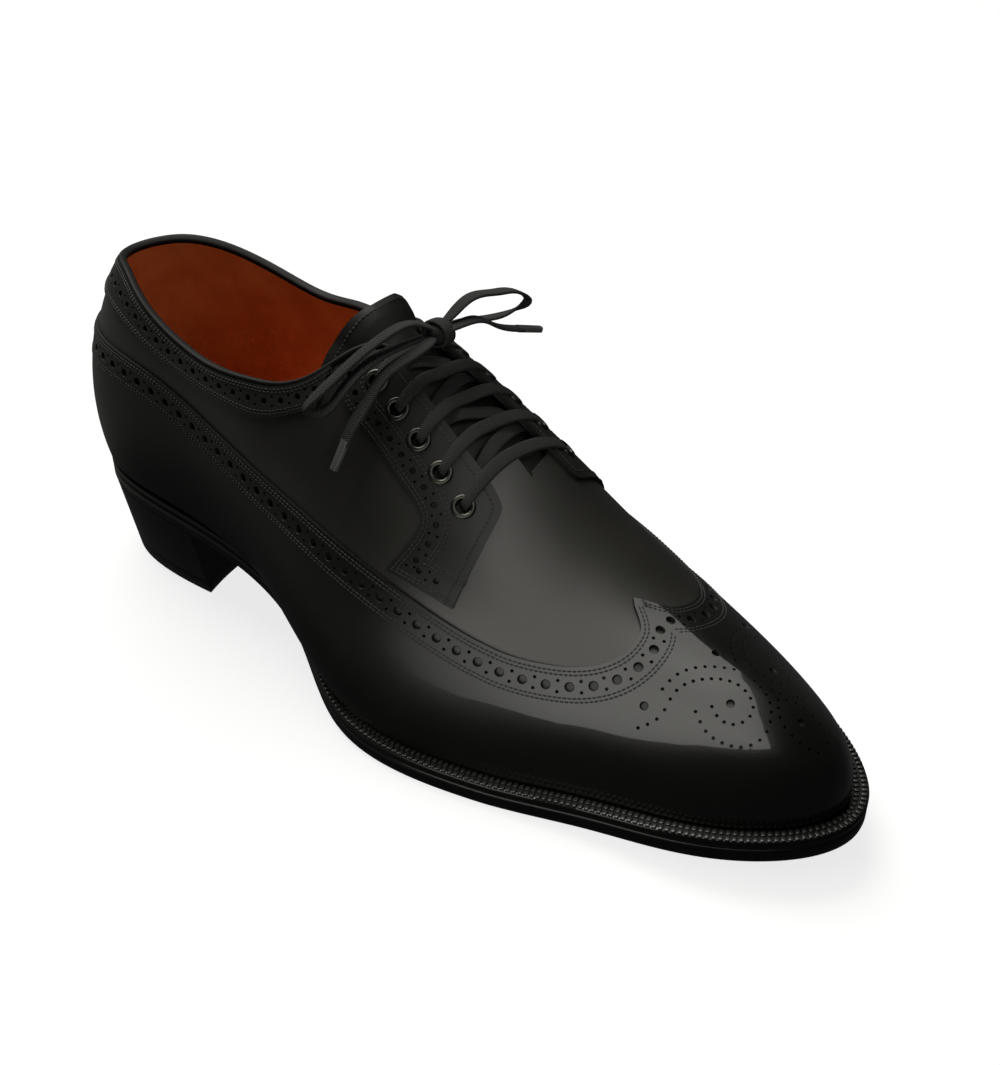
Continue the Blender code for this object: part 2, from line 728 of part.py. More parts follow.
def bar_paths():
    """Centre lines of the lace bars, from inside each inner eyelet to inside its outer partner."""
    places = eyelet_places()
    half = np.array(BAR_HALF)

    def climb(spot):
        up = spot.up + (1 - spot.up) * half[:, 0]
        return skin(np.full(len(half), spot.t), up, half[:, 1])

    for k in range(EYELET_PAIRS):
        near, far = places[k], places[k + EYELET_PAIRS]
        crest = (skin(near.t, 1.0, BAR_CREST.height) + skin(far.t, 1.0, BAR_CREST.height)) / 2
        path = np.vstack([climb(near), crest, climb(far)[::-1]])
        across = np.cross(far.centre - near.centre, near.out + far.out)
        across /= np.linalg.norm(across)
        widths = np.concatenate([half[:, 2], [BAR_CREST.width], half[::-1, 2]])
        yield k + 1, path, np.tile(across, (len(path), 1)), widths


def build_lace_bars(look, collection):
    for number, path, across, widths in bar_paths():
        strap(f"lace_bar_{number}", path, across, widths, look, collection)


# The bow: its knot, and the routes of its two loops and two ends, each starting beside the knot.
KNOT_CENTRE, KNOT_SIZE = (149.3, 2.5, 117.7), (4.4, 3.8, 3.2)
BOW = {
    "lace_loop_inner": [
        (145.5, -2.5, 122.2),
        (142.5, -12.0, 121.8),
        (137.0, -23.0, 114.5),
        (131.0, -31.5, 106.0),
        (129.0, -34.5, 101.5),
        (132.5, -33.5, 101.5),
        (137.5, -28.0, 107.5),
        (142.0, -18.5, 115.4),
        (145.5, -9.0, 117.4),
        (145.8, -4.0, 116.8),
    ],
    "lace_end_inner": [
        (151.0, -3.5, 117.4),
        (149.5, -10.5, 115.8),
        (146.5, -18.5, 112.4),
        (145.0, -26.0, 105.5),
        (143.5, -31.5, 99.0),
        (142.5, -35.0, 93.5),
        (142.0, -38.5, 88.0),
    ],
    "lace_loop_outer": [
        (150.0, 7.5, 122.0),
        (152.0, 14.0, 125.0),
        (154.0, 24.0, 123.5),
        (156.0, 34.0, 120.0),
        (157.0, 37.0, 116.5),
        (154.5, 33.5, 114.0),
        (151.5, 24.0, 114.2),
        (149.5, 14.0, 116.5),
        (149.0, 8.0, 117.6),
    ],
    "lace_end_outer": [
        (153.5, 6.0, 120.0),
        (155.5, 13.0, 120.0),
        (157.0, 21.0, 114.5),
        (159.5, 30.0, 110.5),
    ],
}


def beside_knot(point):
    """The spot where a cord that comes from this way ends, just clear of the knot."""
    way = np.asarray(point) - KNOT_CENTRE
    way /= np.linalg.norm(way)
    reach = 1 / np.linalg.norm(way / np.array(KNOT_SIZE))
    return np.array(KNOT_CENTRE) + way * (reach + GAP + 0.1)


def build_bow(look, collection):
    bm = bmesh.new()
    bmesh.ops.create_icosphere(bm, subdivisions=2, radius=MM)
    bmesh.ops.scale(bm, vec=KNOT_SIZE, verts=bm.verts)
    knot = add_mesh("lace_knot", bm, look, collection)
    knot.location = Vector(to_metres(KNOT_CENTRE))
    for name, route in BOW.items():
        route = np.array(route)
        for k in (0, -1):
            if "loop" in name or k == 0:
                route[k] = beside_knot(route[k])
        reach = np.concatenate([[0], np.cumsum(np.linalg.norm(np.diff(route, axis=0), axis=1))])
        points = to_metres(spline(reach, route)(np.linspace(0, reach[-1], int(reach[-1] / 5) + 2)))
        curve = bpy.data.curves.new(name, "CURVE")
        curve.dimensions = "3D"
        curve.bevel_depth = CORD_RADIUS * MM
        curve.bevel_resolution = 1
        curve.use_fill_caps = True
        line = curve.splines.new("POLY")
        line.points.add(len(points) - 1)
        for spot, point in zip(line.points, points):
            spot.co = (*point, 1.0)
        curve.materials.append(look)
        collection.objects.link(bpy.data.objects.new(name, curve))


def main():
    for old in list(bpy.data.objects):
        bpy.data.objects.remove(old)
    collection = bpy.data.collections.new("wingtip_shoe")
    cutters = bpy.data.collections.new("cutters")
    bpy.context.scene.collection.children.link(collection)
    bpy.context.scene.collection.children.link(cutters)
    leather = material("black_calf", LEATHER_BLACK, 0.28)
    edge = material("black_sole_edge", EDGE_BLACK, 0.35)
    lining = material("tan_lining", LINING_TAN, 0.55)
    lace = material("black_lace", LACE_BLACK, 0.8)
    metal = material("gunmetal", GUNMETAL, 0.35, 1.0)

    build_outsole(edge, collection)
    build_welt(edge, collection)
    build_heel(edge, collection)
    build_insole(lining, collection)
    upper = build_upper(leather, collection)
    build_tongue(leather, collection)
    build_wing_cap(leather, collection)
    build_collar_band(leather, collection)
    inner = build_facing("facing_inner", INNER, leather, collection)
    outer = build_facing("facing_outer", OUTER, leather, collection)
    build_eyelets(metal, collection, cutters)
    for made in (upper, inner, outer):
        cut_holes(made, cutters)
    build_lace_bars(lace, collection)
    build_bow(lace, collection)


main()
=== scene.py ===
"""Long-wing brogue derby for the left foot in black calf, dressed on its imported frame.

Tables are in millimetres, with x measured forward from the heel's back and y outward from the heel's
middle line. Finished pieces are in metres: +X to the toe, +Y to the foot's outer side, +Z up.
"""

from collections import namedtuple

import bmesh
import bpy
import numpy as np
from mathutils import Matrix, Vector


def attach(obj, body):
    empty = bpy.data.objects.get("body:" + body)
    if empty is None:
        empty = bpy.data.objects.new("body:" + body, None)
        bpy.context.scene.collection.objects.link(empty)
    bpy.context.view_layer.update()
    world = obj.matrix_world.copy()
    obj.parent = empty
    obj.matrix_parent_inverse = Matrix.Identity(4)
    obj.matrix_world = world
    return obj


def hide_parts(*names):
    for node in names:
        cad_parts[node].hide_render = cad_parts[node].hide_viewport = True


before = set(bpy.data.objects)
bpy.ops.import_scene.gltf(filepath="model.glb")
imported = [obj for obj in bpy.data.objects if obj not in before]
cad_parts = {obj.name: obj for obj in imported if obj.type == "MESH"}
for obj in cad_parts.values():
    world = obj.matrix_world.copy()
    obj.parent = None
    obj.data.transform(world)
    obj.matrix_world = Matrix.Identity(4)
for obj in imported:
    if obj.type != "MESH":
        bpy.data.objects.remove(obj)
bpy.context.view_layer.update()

MM = 0.001
ORIGIN = np.array([152.5, -0.4, 0.0])
ROOT = "root"
INNER, OUTER = -1, 1
SIDES = ((INNER, "inner"), (OUTER, "outer"))

def rows_of(kind, *rows):
    return [kind(*row) for row in rows]


CAMERA_AT, CAMERA_TO = (387.1, -288.1, 317.2), (174.7, 0.0, 56.2)
CAMERA_LENS, CAMERA_SHIFT = 48.5, (-0.0026, 0.0037)

# The last: x, y of the feather line, ridge where the section ends on top, lean in degrees at the feather,
# low and high reach of the section's curve, edge how far the sole stands out past the feather.
Station = namedtuple("Station", "name x y ridge lean low high edge")
STATIONS = rows_of(
    Station,
    ("heel_back", 6.0, 0.0, 36, 13, 41, 20, 0.8),
    ("heel_in", 17.0, -21.5, 40, 13, 41, 20, 0.8),
    ("seat_in", 42.0, -30.0, 55, 11, 42, 25, 0.8),
    ("breast_in", 72.0, -30.0, 78, 14, 41, 28, 0.6),
    ("waist_in", 111.0, -34.5, 108, 32, 39, 26, -1.0),
    ("arch_in", 148.0, -49.5, 140, 22, 35, 26, 3.2),
    ("ball_in", 196.0, -48.0, 184, 10, 27, 31, 5.0),
    ("tread_in", 237.0, -38.0, 222, 4, 19, 27, 5.5),
    ("toe_in", 276.0, -28.5, 250, 1, 17, 22, 5.5),
    ("toe_tip", 297.5, -6.5, 264, 2, 19, 19, 5.5),
    ("toe_out", 278.0, 22.0, 250, 1, 17, 20, 5.5),
    ("tread_out", 237.0, 42.0, 222, 6, 22, 30, 5.5),
    ("ball_out", 186.0, 50.0, 184, 10, 29, 33, 5.0),
    ("arch_out", 140.0, 38.0, 140, 14, 39, 26, 3.0),
    ("waist_out", 105.0, 31.0, 108, 14, 40, 26, 2.0),
    ("breast_out", 72.0, 30.0, 78, 11, 41, 28, 0.8),
    ("seat_out", 42.0, 30.0, 55, 10, 42, 25, 0.8),
    ("heel_out", 17.0, 21.5, 40, 12, 41, 20, 0.8),
)
# The last's ridge: x, y and z. The sole's underside: x and z.
RIDGE = [
    (36, 0.0, 124.0), (60, 0.0, 130.0), (90, 0.0, 130.0), (120, 0.0, 123.0), (150, 0.0, 110.0),
    (180, -0.5, 88.5), (210, -2.5, 65.0), (240, -5.0, 52.5), (264, -6.0, 48.0),
]
UNDERSIDE = [
    (0, 30.0), (30, 29.5), (60, 27.5), (90, 20.5), (120, 9.5), (150, 1.5), (180, 0.0), (205, 0.0),
    (235, 2.8), (265, 6.8), (305, 11.0),
]
RIDGE_BACK, RIDGE_FRONT = RIDGE[0][0], RIDGE[-1][0]
SOLE_THICK, WELT_THICK, WELT_INNER, GAP = 5.0, 3.0, 7.0, 0.3

# Lines on the upper. along: x of the section's foot on the feather line. up: share of the section's height.
Mark = namedtuple("Mark", "along up")

TOPLINE = rows_of(
    Mark,
    (6, 0.700), (20, 0.695), (49, 0.582), (80, 0.531), (103, 0.590), (118, 0.648), (129, 0.735),
    (138, 0.850), (145, 0.902), (153, 0.903), (166, 0.890), (177, 0.884), (181, 0.915), (183.5, 1.000),
)
COLLAR_BAND_LOW = rows_of(
    Mark, (6, 0.575), (24, 0.552), (66, 0.452), (97, 0.494), (117, 0.565), (131, 0.650)
)
WING_SEAM = rows_of(
    Mark,
    (6, 0.425), (24, 0.418), (55, 0.389), (80, 0.372), (108, 0.402), (134, 0.428), (154, 0.432),
    (172, 0.433), (188, 0.437), (204, 0.460), (217, 0.510), (230, 0.594), (239, 0.699), (245, 0.828),
    (246, 0.929), (241, 1.000),
)
OUTER_AHEAD = 8.0
WING_OUTER_SHIFT = 5.0
WING_PEAK, WING_TIP = 226.5, 2.2
WING_FOOT_UP = 0.012
WING_BOW_FROM, WING_SIDE_TO = 196.0, 232.0

FacingRow = namedtuple("FacingRow", "name inner_along inner_up outer_along outer_up")
FACING = rows_of(
    FacingRow,
    ("collar", 144.0, 0.880, 132.5, 0.752),
    ("top_eyelet", 152.0, 0.888, 139.7, 0.700),
    ("second", 163.0, 0.873, 151.0, 0.680),
    ("third", 176.0, 0.857, 161.0, 0.660),
    ("lowest_eyelet", 188.0, 0.848, 169.0, 0.643),
    ("corner", 193.5, 0.828, 173.0, 0.620),
    ("front", 194.0, 0.785, 172.3, 0.575),
    ("tail", 192.0, 0.669, 169.5, 0.520),
    ("foot", 188.0, 0.494, 166.2, 0.469),
)
EYELET_PAIRS = 5
EYELET_TOP, EYELET_LOW = Mark(147.0, 0.800), Mark(183.8, 0.730)

# Leather layers: height of each outer face over the last and its thickness.
BASE_FACE, BASE_THICK = -0.4, 1.4
PANEL_FACE, PANEL_THICK = 0.6, 0.9
FACING_FACE, FACING_THICK = 0.9, 1.2
LINING_FACE, LINING_THICK = -1.9, 0.4

# Brogue bands, measured from the cut edge inward: stitch rows, hole row, far stitch rows, pitch of the
# holes, big and small radius, and how far a pair of small ones spreads. The collar's holes run mid-band.
Band = namedtuple("Band", "near_rows hole_row far_rows pitch big small spread")
WING_BAND = Band((1.2, 2.3), 5.6, (8.9, 10.0), 7.0, 1.25, 0.46, 1.6)
FACING_BAND = Band((1.1, 2.1), 4.7, (7.4, 8.4), 6.0, 0.78, 0.34, 1.3)
COLLAR_BAND = Band((1.0, 1.9), None, (1.0, 1.9), 6.2, 0.9, 0.4, 1.3)
COLLAR_MIDDLE = 0.52
EDGE_OUT = 1.8
STITCH_PITCH, STITCH_LONG, STITCH_WIDE, STITCH_TALL = 1.45, 0.92, 0.62, 0.56
LACE_WIDTH, LACE_THICK, UNDER_THICK = 4.5, 1.1, 0.8


def spline(knots, values, closed=False):
    """A cubic curve through the values, natural at its ends or running round in a ring."""
    knots = np.asarray(knots, float)
    values = np.asarray(values, float).reshape(len(knots), -1)
    step = np.diff(knots)
    slope = np.diff(values, axis=0) / step[:, None]
    count = len(knots) - 1 if closed else len(knots)
    matrix = np.zeros((count, count))
    right = np.zeros((count, values.shape[1]))
    for i in range(count):
        if not closed and i in (0, count - 1):
            matrix[i, i] = 1.0
            continue
        matrix[i, i - 1] += step[i - 1]
        matrix[i, i] += 2 * (step[i - 1] + step[i])
        matrix[i, (i + 1) % count] += step[i]
        right[i] = 6 * (slope[i] - slope[i - 1])
    bend = np.linalg.solve(matrix, right)
    if closed:
        bend = np.vstack([bend, bend[:1]])

    def at(where):
        where = np.asarray(where, float)
        if closed:
            where = knots[0] + np.mod(where - knots[0], knots[-1] - knots[0])
        k = np.clip(np.searchsorted(knots, where, side="right") - 1, 0, len(step) - 1)
        h = step[k][..., None]
        after = (where - knots[k])[..., None]
        before = h - after
        return (
            (bend[k] * before**3 + bend[k + 1] * after**3) / (6 * h)
            + (values[k] / h - bend[k] * h / 6) * before
            + (values[k + 1] / h - bend[k + 1] * h / 6) * after
        )

    return at


def unit(vectors):
    return vectors / np.linalg.norm(vectors, axis=-1, keepdims=True)


def heading(points):
    """Unit run direction at each point of a line."""
    return unit(np.gradient(points, axis=0))


def reach_of(points):
    """Distance along a line of points, from its first one."""
    return np.concatenate([[0.0], np.cumsum(np.linalg.norm(np.diff(points, axis=0), axis=1))])


def sample(values, reach, spots):
    """What a line carries at distances along it."""
    return np.stack([np.interp(spots, reach, part) for part in values.T], -1)


def at_height(plan, z):
    return np.concatenate([plan, z[..., None]], -1)


COLUMNS = np.array([row[1:] for row in STATIONS], float)
STEPS = np.linalg.norm(np.diff(np.vstack([COLUMNS[:, :2], COLUMNS[:1, :2]]), axis=0), axis=1)
STATION_T = np.concatenate([[0.0], np.cumsum(STEPS)])
GIRTH = STATION_T[-1]
NAMES = [row.name for row in STATIONS]
TOE_T = STATION_T[NAMES.index("toe_tip")]
BALL_T = STATION_T[NAMES.index("ball_in")]
station_row = spline(STATION_T, np.vstack([COLUMNS, COLUMNS[:1]]), closed=True)
ridge_yz = spline([row[0] for row in RIDGE], [row[1:] for row in RIDGE])
underside_z = spline([row[0] for row in UNDERSIDE], [row[1] for row in UNDERSIDE])


def underside(x):
    return np.maximum(underside_z(x)[..., 0], 0.0)


def outward(t):
    """Unit vector in plan, square to the feather line."""
    run = unit(station_row(t + 0.5)[..., :2] - station_row(t - 0.5)[..., :2])
    return np.stack([run[..., 1], -run[..., 0]], -1)


def feather(t):
    plan = station_row(t)[..., :2]
    return at_height(plan, underside(plan[..., 0]) + SOLE_THICK + WELT_THICK + GAP)


def ridge(x):
    yz = ridge_yz(x)
    return np.stack([x, yz[..., 0], yz[..., 1]], -1)


def ridge_end(t):
    """Where on the ridge each section ends, and how steeply the ridge falls there."""
    x = np.clip(station_row(t)[..., 2], RIDGE_BACK, RIDGE_FRONT)
    return x, (ridge(x + 0.5) - ridge(x - 0.5))[..., 2]


def last(t, v):
    """The last's surface: t round the feather line, v up each section from the feather to the ridge."""
    row = station_row(t)
    foot = feather(t)
    x, fall = ridge_end(t)
    top = ridge(x)
    lean = np.radians(row[..., 3])
    rise = at_height(outward(t) * np.sin(lean)[..., None], np.cos(lean))
    reach = unit(foot[..., :2] - top[..., :2])
    low = foot + row[..., 4:5] * rise
    high = top + row[..., 5:6] * at_height(reach, fall * reach[..., 0])
    v = np.asarray(v, float)[..., None]
    w = 1 - v
    return w**3 * foot + 3 * w * w * v * low + 3 * w * v * v * high + v**3 * top


NEAR_RIDGE = 0.98
V_STEP = 0.004


def run_at(t, v):
    return last(t + 0.5, v) - last(t - 0.5, v)


def rise_at(t, v):
    return (last(t, v + V_STEP) - last(t, v - V_STEP)) / (2 * V_STEP)


def skin(t, v, offset=0.0):
    """A point of the last moved out along the surface's normal."""
    t, v = np.broadcast_arrays(np.asarray(t, float), np.asarray(v, float))
    inner = np.clip(v, V_STEP, NEAR_RIDGE)
    normal = unit(np.cross(run_at(t, inner), rise_at(t, inner)))
    _, fall = ridge_end(t)
    crown = unit(np.stack([-fall, np.zeros_like(fall), np.ones_like(fall)], -1))
    share = np.clip((v - NEAR_RIDGE) / (1 - NEAR_RIDGE), 0, 1)[..., None]
    normal = unit(normal + (crown - normal) * share)
    return last(t, v) + normal * np.asarray(offset, float)[..., None]


def normal_at(t, v):
    return skin(t, v, 1.0) - skin(t, v)


DENSE = {INNER: np.linspace(0.0, TOE_T, 900), OUTER: np.linspace(GIRTH, TOE_T, 900)}


def t_along(side, along):
    """Where the feather line on one side of the foot has this x."""
    return np.interp(along, station_row(DENSE[side])[:, 0], DENSE[side])


def t_ridge(side, x):
    """The section on one side of the foot that ends at this x on the ridge."""
    return np.interp(x, station_row(DENSE[side])[:, 2], DENSE[side])


RIDGE_X = np.linspace(30.0, 270.0, 481)


def outer_ahead(x):
    """How far the outer side's marks at the throat lie ahead of the inner side's, by x on the ridge."""
    return OUTER_AHEAD * np.clip((x - 100) / 50, 0, 1) * np.clip((200 - x) / 10, 0, 1)


def t_mark(side, along):
    """The section for a mark given on the inner side, or its partner straight across on the outer side."""
    inner = t_along(INNER, along)
    if side == INNER:
        return inner
    return t_ridge(OUTER, np.interp(station_row(inner)[..., 2], RIDGE_X - outer_ahead(RIDGE_X), RIDGE_X))


def along_of(t):
    """The mark's along for any section, the outer ones by their partners on the inner side."""
    t = np.mod(t, GIRTH)
    x = station_row(t)[..., 2]
    return station_row(np.where(t > TOE_T, t_ridge(INNER, x - outer_ahead(x)), t))[..., 0]


def curve_of(line):
    """A smooth line through marks that run forward, as the share of height at each along."""
    curve = spline([mark.along for mark in line], [mark.up for mark in line])
    low, high = line[0].along, line[-1].along
    return lambda along: np.clip(curve(np.clip(along, low, high))[..., 0], 0.0, 1.0)


topline = curve_of(TOPLINE)
band_low = curve_of(COLLAR_BAND_LOW)
wing_side = curve_of([mark for mark in WING_SEAM if mark.along < WING_SIDE_TO])


def settle(t, v, target):
    """The section and height whose point on the last lies nearest each target."""
    for _ in range(4):
        run, rise, gap = run_at(t, v), rise_at(t, v), target - last(t, v)
        a, b, c = (run * run).sum(-1), (run * rise).sum(-1), (rise * rise).sum(-1)
        d, e = (run * gap).sum(-1), (rise * gap).sum(-1)
        det = a * c - b * b
        t, v = t + (c * d - b * e) / det, v + (a * e - b * d) / det
    return t, v


def on_top(plan):
    """Spots of the last's top under plan positions, with a run direction."""
    plan = np.asarray(plan, float)
    x, y = plan.T

    def turn(a, b):
        return a[:, 0] * b[:, 1] - a[:, 1] * b[:, 0]

    inner = y < ridge_yz(np.clip(x, 0, RIDGE_FRONT))[:, 0]
    t = np.where(inner, t_along(INNER, x), t_along(OUTER, x))
    v = np.full(len(x), 0.75)
    for _ in range(12):
        run, rise, gap = run_at(t, v), rise_at(t, v), plan - last(t, v)[:, :2]
        det = turn(run, rise)
        t = t + np.clip(turn(gap, rise) / det, -6, 6)
        v = np.clip(v + np.clip(turn(run, gap) / det, -0.1, 0.1), 0.05, 1.0)
    return t, v, unit(run_at(t, v))


def gap_to(edge, line):
    """Least distance of each point of a line from an edge."""
    return np.linalg.norm(last(*line)[:, None] - last(*edge)[None], axis=-1).min(1)


def beside(line, distance):
    """A line on the last moved sideways along the surface, to the left of its run if distance is positive."""
    points = last(*line)
    across = unit(np.cross(normal_at(*line), heading(points)))
    return settle(*line, points + across * distance)


def row_beside(edge, turn, distance):
    """A row beside an edge, without what comes too near the edge or over the ridge."""
    t, v = beside(edge, turn * distance)
    keep = (gap_to(edge, (t, v)) > abs(distance) - 0.25) & (v < 0.998)
    return t[keep], v[keep]


def spaced(line, pitch, start=0.5):
    """Evenly spread spots on a line, a whole number of them: section, height and run direction."""
    t, v = line
    points = last(t, v)
    reach = reach_of(points)
    count = max(int(round(reach[-1] / pitch)), 1)
    spots = (np.arange(count) + start) * reach[-1] / count
    return np.interp(spots, reach, t), np.interp(spots, reach, v), sample(heading(points), reach, spots)


def smooth_path(route, spacing):
    route = np.asarray(route, float)
    reach = reach_of(route)
    where = np.linspace(0, reach[-1], int(reach[-1] / spacing) + 2)
    return spline(reach, route)(where), where / reach[-1]


def to_metres(points):
    return (np.asarray(points, float) - ORIGIN) * MM


def placed(name, data):
    made = bpy.data.objects.new(name, data)
    bpy.context.scene.collection.objects.link(made)
    return made


def mesh_of(name, bm):
    mesh = bpy.data.meshes.new(name)
    bm.to_mesh(mesh)
    bm.free()
    return mesh


def add_object(name, mesh, look, slot, sharp=40):
    mesh.shade_smooth()
    mesh.set_sharp_from_angle(angle=np.radians(sharp))
    if not mesh.materials:
        mesh.materials.append(look)
    made = placed(name, mesh)
    if slot:
        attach(made, ROOT)
    return made


def add_piece(name, bm, look, slot, sharp=40):
    return add_object(name, mesh_of(name, bm), look, slot, sharp)


def flat_grid(columns, rows):
    bm = bmesh.new()
    bmesh.ops.create_grid(bm, x_segments=columns, y_segments=rows, size=0.5)
    return bm


def keys_of(bm):
    """Shares across and up, and the level, of a grid's points before they are laid."""
    return np.array([vert.co[:] for vert in bm.verts]) + (0.5, 0.5, 0.0)


def lay(bm, spots, merge):
    """Move a mesh's points to their spots and join those that meet."""
    for vert, point in zip(bm.verts, to_metres(spots)):
        vert.co = point
    bmesh.ops.remove_doubles(bm, verts=bm.verts, dist=merge * MM)


def grid(columns, rows, place):
    """A grid laid by place, which turns shares across and up into points."""
    bm = flat_grid(columns, rows)
    lay(bm, place(*keys_of(bm).T[:2]), 0.02)
    return bm


def block(columns, rows, levels, place):
    """A grid raised through several levels: place turns shares and the level's number into points."""
    bm = flat_grid(columns, rows)
    lid = list(bm.faces)
    for _ in range(levels):
        seams = {edge for face in lid for edge in face.edges}
        raised = bmesh.ops.extrude_face_region(bm, geom=lid + list(seams))["geom"]
        lid = [item for item in raised if isinstance(item, bmesh.types.BMFace)]
        corners = [item for item in raised if isinstance(item, bmesh.types.BMVert)]
        bmesh.ops.translate(bm, verts=corners, vec=(0, 0, 1))
    u, w, level = keys_of(bm).T
    lay(bm, place(u, w, np.rint(level).astype(int)), 0.01)
    bmesh.ops.recalc_face_normals(bm, faces=bm.faces)
    return bm


def panel(name, bm, thick, look, slot, holes=(), edge_look=None):
    """A leather panel with its outer face on the grid, punched where the holes' shapes stand."""
    mesh = mesh_of(name, bm)
    mesh.materials.append(look)
    mesh.materials.append(edge_look or cut_edge)
    blank = placed(name + "_blank", mesh)
    helpers = [blank]
    wall = blank.modifiers.new("wall", "SOLIDIFY")
    wall.thickness = thick * MM
    wall.offset = -1.0
    wall.material_offset_rim = 1
    if holes:
        cutter = joined("cutter", holes, cut_edge, None)
        cutter.data.materials.append(cut_edge)
        cutter.data.polygons.foreach_set("material_index", [1] * len(cutter.data.polygons))
        helpers.append(cutter)
        punch = blank.modifiers.new("punch", "BOOLEAN")
        punch.operation = "DIFFERENCE"
        punch.object = cutter
        punch.solver = "MANIFOLD"
    bpy.context.view_layer.update()
    graph = bpy.context.evaluated_depsgraph_get()
    made = bpy.data.meshes.new_from_object(blank.evaluated_get(graph))
    made.name = name
    for helper in helpers:
        bpy.data.objects.remove(helper)
    return add_object(name, made, look, slot)


def shape_of(bm):
    bm.verts.index_update()
    points = np.array([vert.co[:] for vert in bm.verts])
    faces = [[vert.index for vert in face.verts] for face in bm.faces]
    bm.free()
    return points, faces


def profile_shape(profile, steps):
    """Points and faces of a profile of radius and height turned about Z, in millimetres."""
    bm = bmesh.new()
    ring = [bm.verts.new((radius, 0, height)) for radius, height in profile]
    edges = [bm.edges.new(pair) for pair in zip(ring, ring[1:])]
    if profile[0][0] > 0:
        edges.append(bm.edges.new((ring[-1], ring[0])))
    bmesh.ops.spin(
        bm, geom=ring + edges, cent=(0, 0, 0), axis=(0, 0, 1), angle=2 * np.pi, steps=steps, use_merge=True
    )
    bmesh.ops.remove_doubles(bm, verts=bm.verts, dist=1e-4)
    bmesh.ops.recalc_face_normals(bm, faces=bm.faces)
    return shape_of(bm)


Stand = namedtuple("Stand", "centre along across normal")


def stands(spots, lift=0.0):
    """A frame on the last's surface for each spot: centre, run, across and outward."""
    t, v, run = spots
    normal = normal_at(t, v)
    across = unit(np.cross(normal, run))
    centre = skin(t, v) + normal * np.asarray(lift)[..., None]
    return Stand(centre, np.cross(across, normal), across, normal)


def scatter(shape, frames, sizes=(1.0, 1.0, 1.0)):
    """Points and faces of one shape repeated in each frame."""
    points, faces = shape
    points = points * np.asarray(sizes)
    spots = frames.centre[:, None]
    for k, way in enumerate((frames.along, frames.across, frames.normal)):
        spots = spots + points[None, :, k : k + 1] * way[:, None]
    many = [[k * len(points) + i for i in face] for k in range(len(spots)) for face in faces]
    return spots.reshape(-1, 3), many


def joined(name, groups, look, slot, sharp=40):
    """One piece out of many repeated shapes."""
    points, faces, start = [], [], 0
    for spots, many in groups:
        points.append(spots)
        faces.extend([[start + i for i in face] for face in many])
        start += len(spots)
    mesh = bpy.data.meshes.new(name)
    mesh.from_pydata(to_metres(np.vstack(points)), [], faces)
    return add_object(name, mesh, look, slot, sharp)


ROUNDING = 0.6


def ribbon(name, path, across, widths, thick, look, slot, around=12):
    """A flat lace or strip along a path, with rounded edges. across points along its width."""
    face = unit(np.cross(heading(path), across))
    reach = reach_of(path)
    bm = flat_grid(len(path) - 1, around)
    share = keys_of(bm)
    k = np.rint(share[:, 0] * (len(path) - 1)).astype(int)
    weave = bm.loops.layers.uv.new("weave")
    order = {vert: i for i, vert in enumerate(bm.verts)}
    for loop in (loop for part in bm.faces for loop in part.loops):
        i = order[loop.vert]
        loop[weave].uv = (reach[k[i]] / LACE_WIDTH, share[i, 1])
    angle = 2 * np.pi * share[:, 1]
    cos, sin = np.cos(angle), np.sin(angle)
    side = np.sign(cos) * np.abs(cos) ** ROUNDING * np.asarray(widths)[k] / 2
    lift = np.sign(sin) * np.abs(sin) ** ROUNDING * thick / 2
    lay(bm, path[k] + across[k] * side[:, None] + face[k] * lift[:, None], 0.005)
    bmesh.ops.holes_fill(bm, edges=[edge for edge in bm.edges if edge.is_boundary], sides=0)
    bmesh.ops.recalc_face_normals(bm, faces=bm.faces)
    return add_piece(name, bm, look, slot, sharp=60)


# Materials.


def shader_of(name):
    made = bpy.data.materials.new(name)
    made.use_nodes = True
    tree = made.node_tree
    return made, tree, tree.nodes["Principled BSDF"]


def dial(shader, values):
    for socket, value in values.items():
        shader.inputs[socket].default_value = value


def node(tree, kind, **values):
    made = tree.nodes.new(kind)
    for key, value in values.items():
        if key in made.inputs:
            made.inputs[key].default_value = value
        else:
            setattr(made, key, value)
    return made


def noise(tree, scale, detail=2.0):
    place = node(tree, "ShaderNodeTexCoord")
    made = node(tree, "ShaderNodeTexNoise", Scale=scale, Detail=detail, Roughness=0.5)
    tree.links.new(place.outputs["Object"], made.inputs["Vector"])
    return made.outputs["Fac"]


def ranged(tree, source, low, high, to_low, to_high):
    made = node(tree, "ShaderNodeMapRange", interpolation_type="SMOOTHSTEP")
    dial(made, {"From Min": low, "From Max": high, "To Min": to_low, "To Max": to_high})
    tree.links.new(source, made.inputs["Value"])
    return made.outputs["Result"]


def mixed(tree, share, first, second):
    made = node(tree, "ShaderNodeMix", data_type="RGBA")
    ends = {"A": first, "B": second}
    for socket in made.inputs:
        if socket.type == "RGBA" and socket.name in ends:
            socket.default_value = (*ends[socket.name], 1.0)
    tree.links.new(share, made.inputs[0])
    return next(out for out in made.outputs if out.type == "RGBA")


def bumped(tree, shader, height, strength, distance):
    made = node(tree, "ShaderNodeBump", Strength=strength, Distance=distance)
    tree.links.new(height, made.inputs["Height"])
    tree.links.new(made.outputs["Normal"], shader.inputs["Normal"])


